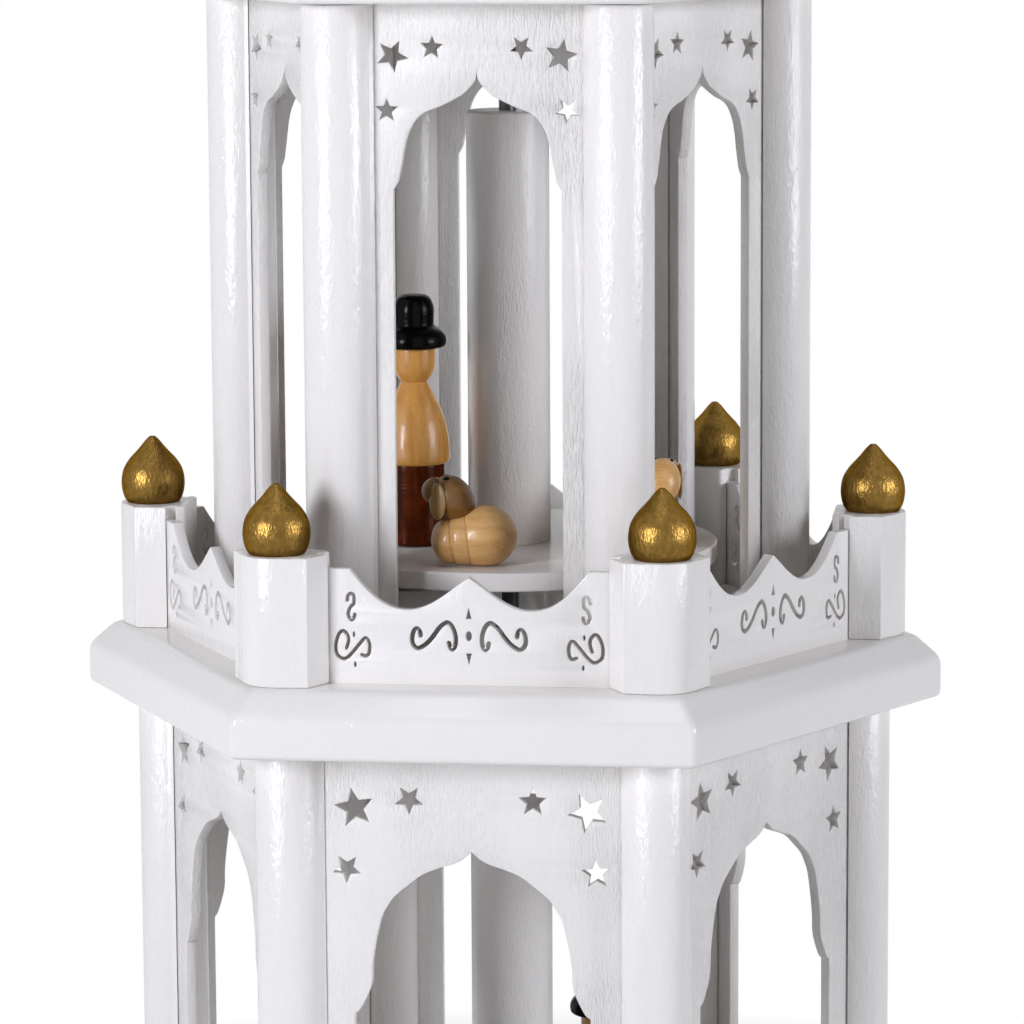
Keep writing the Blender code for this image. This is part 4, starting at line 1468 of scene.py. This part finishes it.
@dataclass
class TurnedSheep:
    """A small sheep: a body turned about its length, a ball for a head, a snout and two ears."""

    node: str
    place: tuple[float, float]
    heading: float
    head_wood: Finish
    size: float = 0.0070
    flat: float = 0.0005
    body_tilt: float = math.radians(7)
    head_tilt: float = math.radians(60)
    head_half_sizes: Sequence[float] = (0.0058, 0.0045, 0.0045)
    head_place: Sequence[float] = (0.0074, 0, 0.0149)
    snout_half_sizes: Sequence[float] = (0.0031, 0.0031, 0.0031)
    snout_place: Sequence[float] = (0.0115, 0, 0.0168)
    ear_half_sizes: Sequence[float] = (0.0022, 0.0006, 0.0042)
    ear_place: Sequence[float] = (0.0109, 0.0033, 0.0148)
    ear_turn: float = math.radians(-30)
    eye_half_sizes: Sequence[float] = (0.00065, 0.0004, 0.00045)
    eye_place: Sequence[float] = (0.0089, 0.0020, 0.0198)
    body: Line = (
        (-1, 0), (-0.97, 0.25), (-0.87, 0.49), (-0.7, 0.714), (-0.5, 0.866), (-0.25, 0.968),
        (0, 1), (0.25, 0.975), (0.45, 0.92), (0.565, 0.885), (0.59, 0.855), (0.615, 0.88),
        (0.85, 0.86), (1.03, 0.81), (1.1, 0.73), (1.17, 0.77), (1.35, 0.73), (1.5, 0.65),
        (1.64, 0.50), (1.72, 0.36), (1.78, 0.18), (1.8, 0))

    def torso(self) -> bpy.types.Mesh:
        """Turns the body and flattens it underneath, so that it stands.

        Returns:
            The mesh, its foot at 0.
        """
        profile = eased(np.array(self.body)[::-1, ::-1] * self.size, 0.0007, steps=3)
        mesh = turned(profile, 64)
        lift = lifted(self.size - self.flat)
        mesh.transform(lift @ Matrix.Rotation(math.pi / 2 + self.body_tilt, 4, "Y"))
        points = np.empty(len(mesh.vertices) * 3, np.float32)
        mesh.vertices.foreach_get("co", points)
        points[2::3] = points[2::3].clip(0)
        mesh.vertices.foreach_set("co", points)
        return mesh

    def build(self) -> None:
        """Makes the sheep's parts."""
        place = (Matrix.Translation((*self.place, level(self.node, top=False)))
                 @ Matrix.Rotation(self.heading, 4, "Z"))
        tilt = Matrix.Rotation(-self.head_tilt, 4, "Y")
        parts = [("body", self.torso(), Matrix(), PALE_WOOD),
                 ("head", egg(*self.head_half_sizes),
                  Matrix.Translation(self.head_place) @ tilt, self.head_wood),
                 ("snout", egg(*self.snout_half_sizes),
                  Matrix.Translation(self.snout_place), self.head_wood)]
        for label, way in (("left", 1), ("right", -1)):
            ear, eye = (Matrix.Translation((x, way * y, z))
                        for x, y, z in (self.ear_place, self.eye_place))
            turn = Matrix.Rotation(way * self.ear_turn, 4, "Z")
            parts.append((f"{label}_ear", egg(*self.ear_half_sizes), ear @ turn, SHADED_EAR_WOOD))
            parts.append((f"{label}_eye", egg(*self.eye_half_sizes), eye, HAT_PAINT))
        for label, mesh, own, finish in parts:
            dressed(f"{self.node}_{label}", mesh, place @ own, finish, Body.ROTOR, self.node)


@dataclass
class PhotoCamera:
    """The camera of the picture: where it stands about the axis, and how it is turned there."""

    azimuth: float = math.radians(7.06)
    distance: float = 1.04373
    height: float = 0.36612
    pitch: float = math.radians(8.75)
    yaw: float = math.radians(-0.03)
    roll: float = math.radians(-0.32)
    lens: float = 158.2
    sensor: float = 36.0

    def build(self) -> bpy.types.Object:
        """Makes the camera, which looks a little down on the object.

        Returns:
            The camera.
        """
        data = bpy.data.cameras.new("camera")
        data.sensor_width = self.sensor
        data.lens = self.lens
        data.clip_start, data.clip_end = 0.05, 20
        camera = linked("camera", data)
        bpy.context.scene.camera = camera
        place = (self.distance * math.sin(self.azimuth), -self.distance * math.cos(self.azimuth),
                 self.height)
        camera.matrix_world = (Matrix.Translation(place)
                               @ Matrix.Rotation(self.azimuth + self.yaw, 4, "Z")
                               @ Matrix.Rotation(math.pi / 2 - self.pitch, 4, "X")
                               @ Matrix.Rotation(self.roll, 4, "Z"))
        return camera


@dataclass
class Lamp:
    """A soft square lamp, placed by its direction from the object."""

    name: str
    azimuth: float
    elevation: float
    size: tuple[float, float]
    power: float
    distance: float = 1.3
    colour: Colour = (0.90, 0.91, 1.0)

    def build(self, centre: Vector) -> bpy.types.Object:
        """Makes the lamp.

        Args:
            centre: the point at which it is aimed.

        Returns:
            The lamp.
        """
        data = bpy.data.lights.new(self.name, "AREA")
        data.shape = "RECTANGLE"
        data.size, data.size_y = self.size
        data.energy = self.power
        data.color = self.colour
        lamp = linked(self.name, data)
        azimuth, elevation = math.radians(self.azimuth), math.radians(self.elevation)
        away = Vector((math.sin(azimuth) * math.cos(elevation),
                       -math.cos(azimuth) * math.cos(elevation), math.sin(elevation)))
        lamp.location = centre + away * self.distance
        lamp.rotation_euler = away.to_track_quat("Z", "Y").to_euler()
        return lamp


@dataclass
class Studio:
    """A pale floor, a white surround and soft lamps."""

    world_fill: float = 0.02
    floor_colour: Colour = (0.80, 0.80, 0.80)
    floor_mottle: float = 0.97
    floor_half_size: float = 6.0
    floor_drop: float = 0.0002
    fade: tuple[float, float] = (0.20, 0.32)

    def seen(self, sheet: NodeSheet) -> Socket:
        """Tells the rays that see a surface from those that only light it.

        Args:
            sheet: the nodes to which the test is added.

        Returns:
            1 for camera, glossy and transmission rays and 0 for the others.
        """
        kinds = [sheet.node("ShaderNodeLightPath", output=name)
                 for name in ("Is Camera Ray", "Is Glossy Ray", "Is Transmission Ray")]
        return kinds[0].largest(kinds[1]).largest(kinds[2])

    def surround(self) -> None:
        """Makes the world: white where it is seen, weaker where it only lights."""
        world = bpy.data.worlds.new("surround")
        sheet = NodeSheet(world)
        strength = self.seen(sheet) * (1 - self.world_fill) + self.world_fill
        background = sheet.tree.nodes["Background"]
        sheet.feed(background.inputs["Color"], (1.0, 1.0, 1.0, 1.0))
        sheet.feed(background.inputs["Strength"], strength)
        bpy.context.scene.world = world

    def floor(self) -> bpy.types.Object:
        """Makes the floor, pale and shaded round the object and white further off.

        Returns:
            The floor.
        """
        half, low = self.floor_half_size, CAD_BOX[0][2] - self.floor_drop
        corners = [(-half, -half, low), (half, -half, low), (half, half, low), (-half, half, low)]
        mesh = bpy.data.meshes.new("floor")
        mesh.from_pydata(corners, [], [(0, 1, 2, 3)])
        made = bpy.data.materials.new("floor")
        sheet = NodeSheet(made)
        here = sheet.node("ShaderNodeTexCoord", output="Object")
        reach = sheet.node("ShaderNodeVectorMath", {"operation": "LENGTH"}, {0: here}, 1)
        mottle = sheet.noise((9, 9, 9), detail=3)
        shader = sheet.tree.nodes["Principled BSDF"]
        darker = tuple(self.floor_mottle * c for c in self.floor_colour)
        sheet.feed(shader.inputs["Base Color"], sheet.blend(mottle, self.floor_colour, darker))
        sheet.feed(shader.inputs["Roughness"], 0.6 + 0.1 * mottle)
        white = sheet.node("ShaderNodeEmission", None, {"Color": (1.0, 1.0, 1.0, 1.0)})
        share = self.seen(sheet) * reach.above(*self.fade)
        mixed = sheet.node("ShaderNodeMixShader", None,
                           {0: share, 1: Socket(sheet, shader.outputs[0]), 2: white})
        output = sheet.tree.nodes["Material Output"]
        sheet.feed(output.inputs["Surface"], mixed)
        mesh.materials.append(made)
        return linked("floor", mesh)

    def build(self) -> None:
        """Makes the surround, the floor, the lamps and the camera."""
        self.surround()
        centre = Vector((0, 0, (CAD_BOX[0][2] + CAD_BOX[1][2]) / 2))
        lamps = [Lamp("left_lamp", -36, 12, (0.25, 0.5), 12.0),
                 Lamp("right_lamp", 71, 12, (0.45, 0.5), 8.2),
                 Lamp("top_lamp", 0, 80, (0.5, 0.8), 3.6)]
        self.floor()
        PhotoCamera().build()
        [lamp.build(centre) for lamp in lamps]


LOWER_STOREY = Storey(
    "lower", 0.0728, 0.0815, 0.0264, 0.0225, 0.0374,
    ((0.077, 0.047), (0.155, 0.074), (0.27, 0.101), (0.41, 0.142), (0.54, 0.211),
     (0.655, 0.281), (0.72, 0.348), (0.769, 0.417), (0.814, 0.553), (0.845, 0.69),
     (0.86, 0.83), (0.947, 0.965), (1, 1)),
    0.0045, 0.0260, 0.0130, ((-10, 36, 38), (46, 0, -4)))
UPPER_STOREY = Storey(
    "upper", 0.0549, 0.0625, 0.0187, 0.0152, 0.0256,
    ((0.0147, 0.05), (0.042, 0.084), (0.08, 0.117), (0.156, 0.173), (0.23, 0.206),
     (0.286, 0.229), (0.441, 0.284), (0.516, 0.302), (0.636, 0.341), (0.723, 0.396),
     (0.804, 0.49), (0.848, 0.584), (0.875, 0.678), (0.897, 0.773), (0.924, 0.863),
     (0.94, 0.92), (0.978, 0.976), (1, 1)),
    0.0036, 0.0187, 0.0113, ((27, 3, 1), (11, 36, 40)))


def main() -> None:
    """Builds the stand, then what turns in it, then the studio."""
    logging.basicConfig(level=logging.INFO, format="%(name)s %(message)s")
    bpy.context.scene.view_settings.view_transform = "Standard"
    MouldedPlate("base_plate", 0.142, 0.015, 0).build()
    LOWER_STOREY.build()
    MouldedPlate("balcony_plate", 0.1014, 0.015, 0.004).build()
    Balcony().build()
    UPPER_STOREY.build()
    MouldedPlate("top_plate", 0.077, 0.012, 0.004).build()
    CandleCups().build()
    Spindle().build()
    Turntable("lower_turntable", 0.0660).build()
    Turntable("upper_turntable", 0.0487).build()
    TurnedMan("lower_man", (0.0202, 0.0120)).build()
    TurnedMan("upper_man", (-0.0211, -0.0085)).build()
    # The front sheep's dark head is painted shade.
    TurnedSheep("front_sheep", (-0.0007, -0.0375), math.radians(186), SHADOW_BROWN_WOOD).build()
    TurnedSheep("side_sheep", (0.0345, -0.0150), math.radians(75), PALE_WOOD).build()
    WingWheel().build()
    Studio().build()


if __name__ == "__main__":
    main()
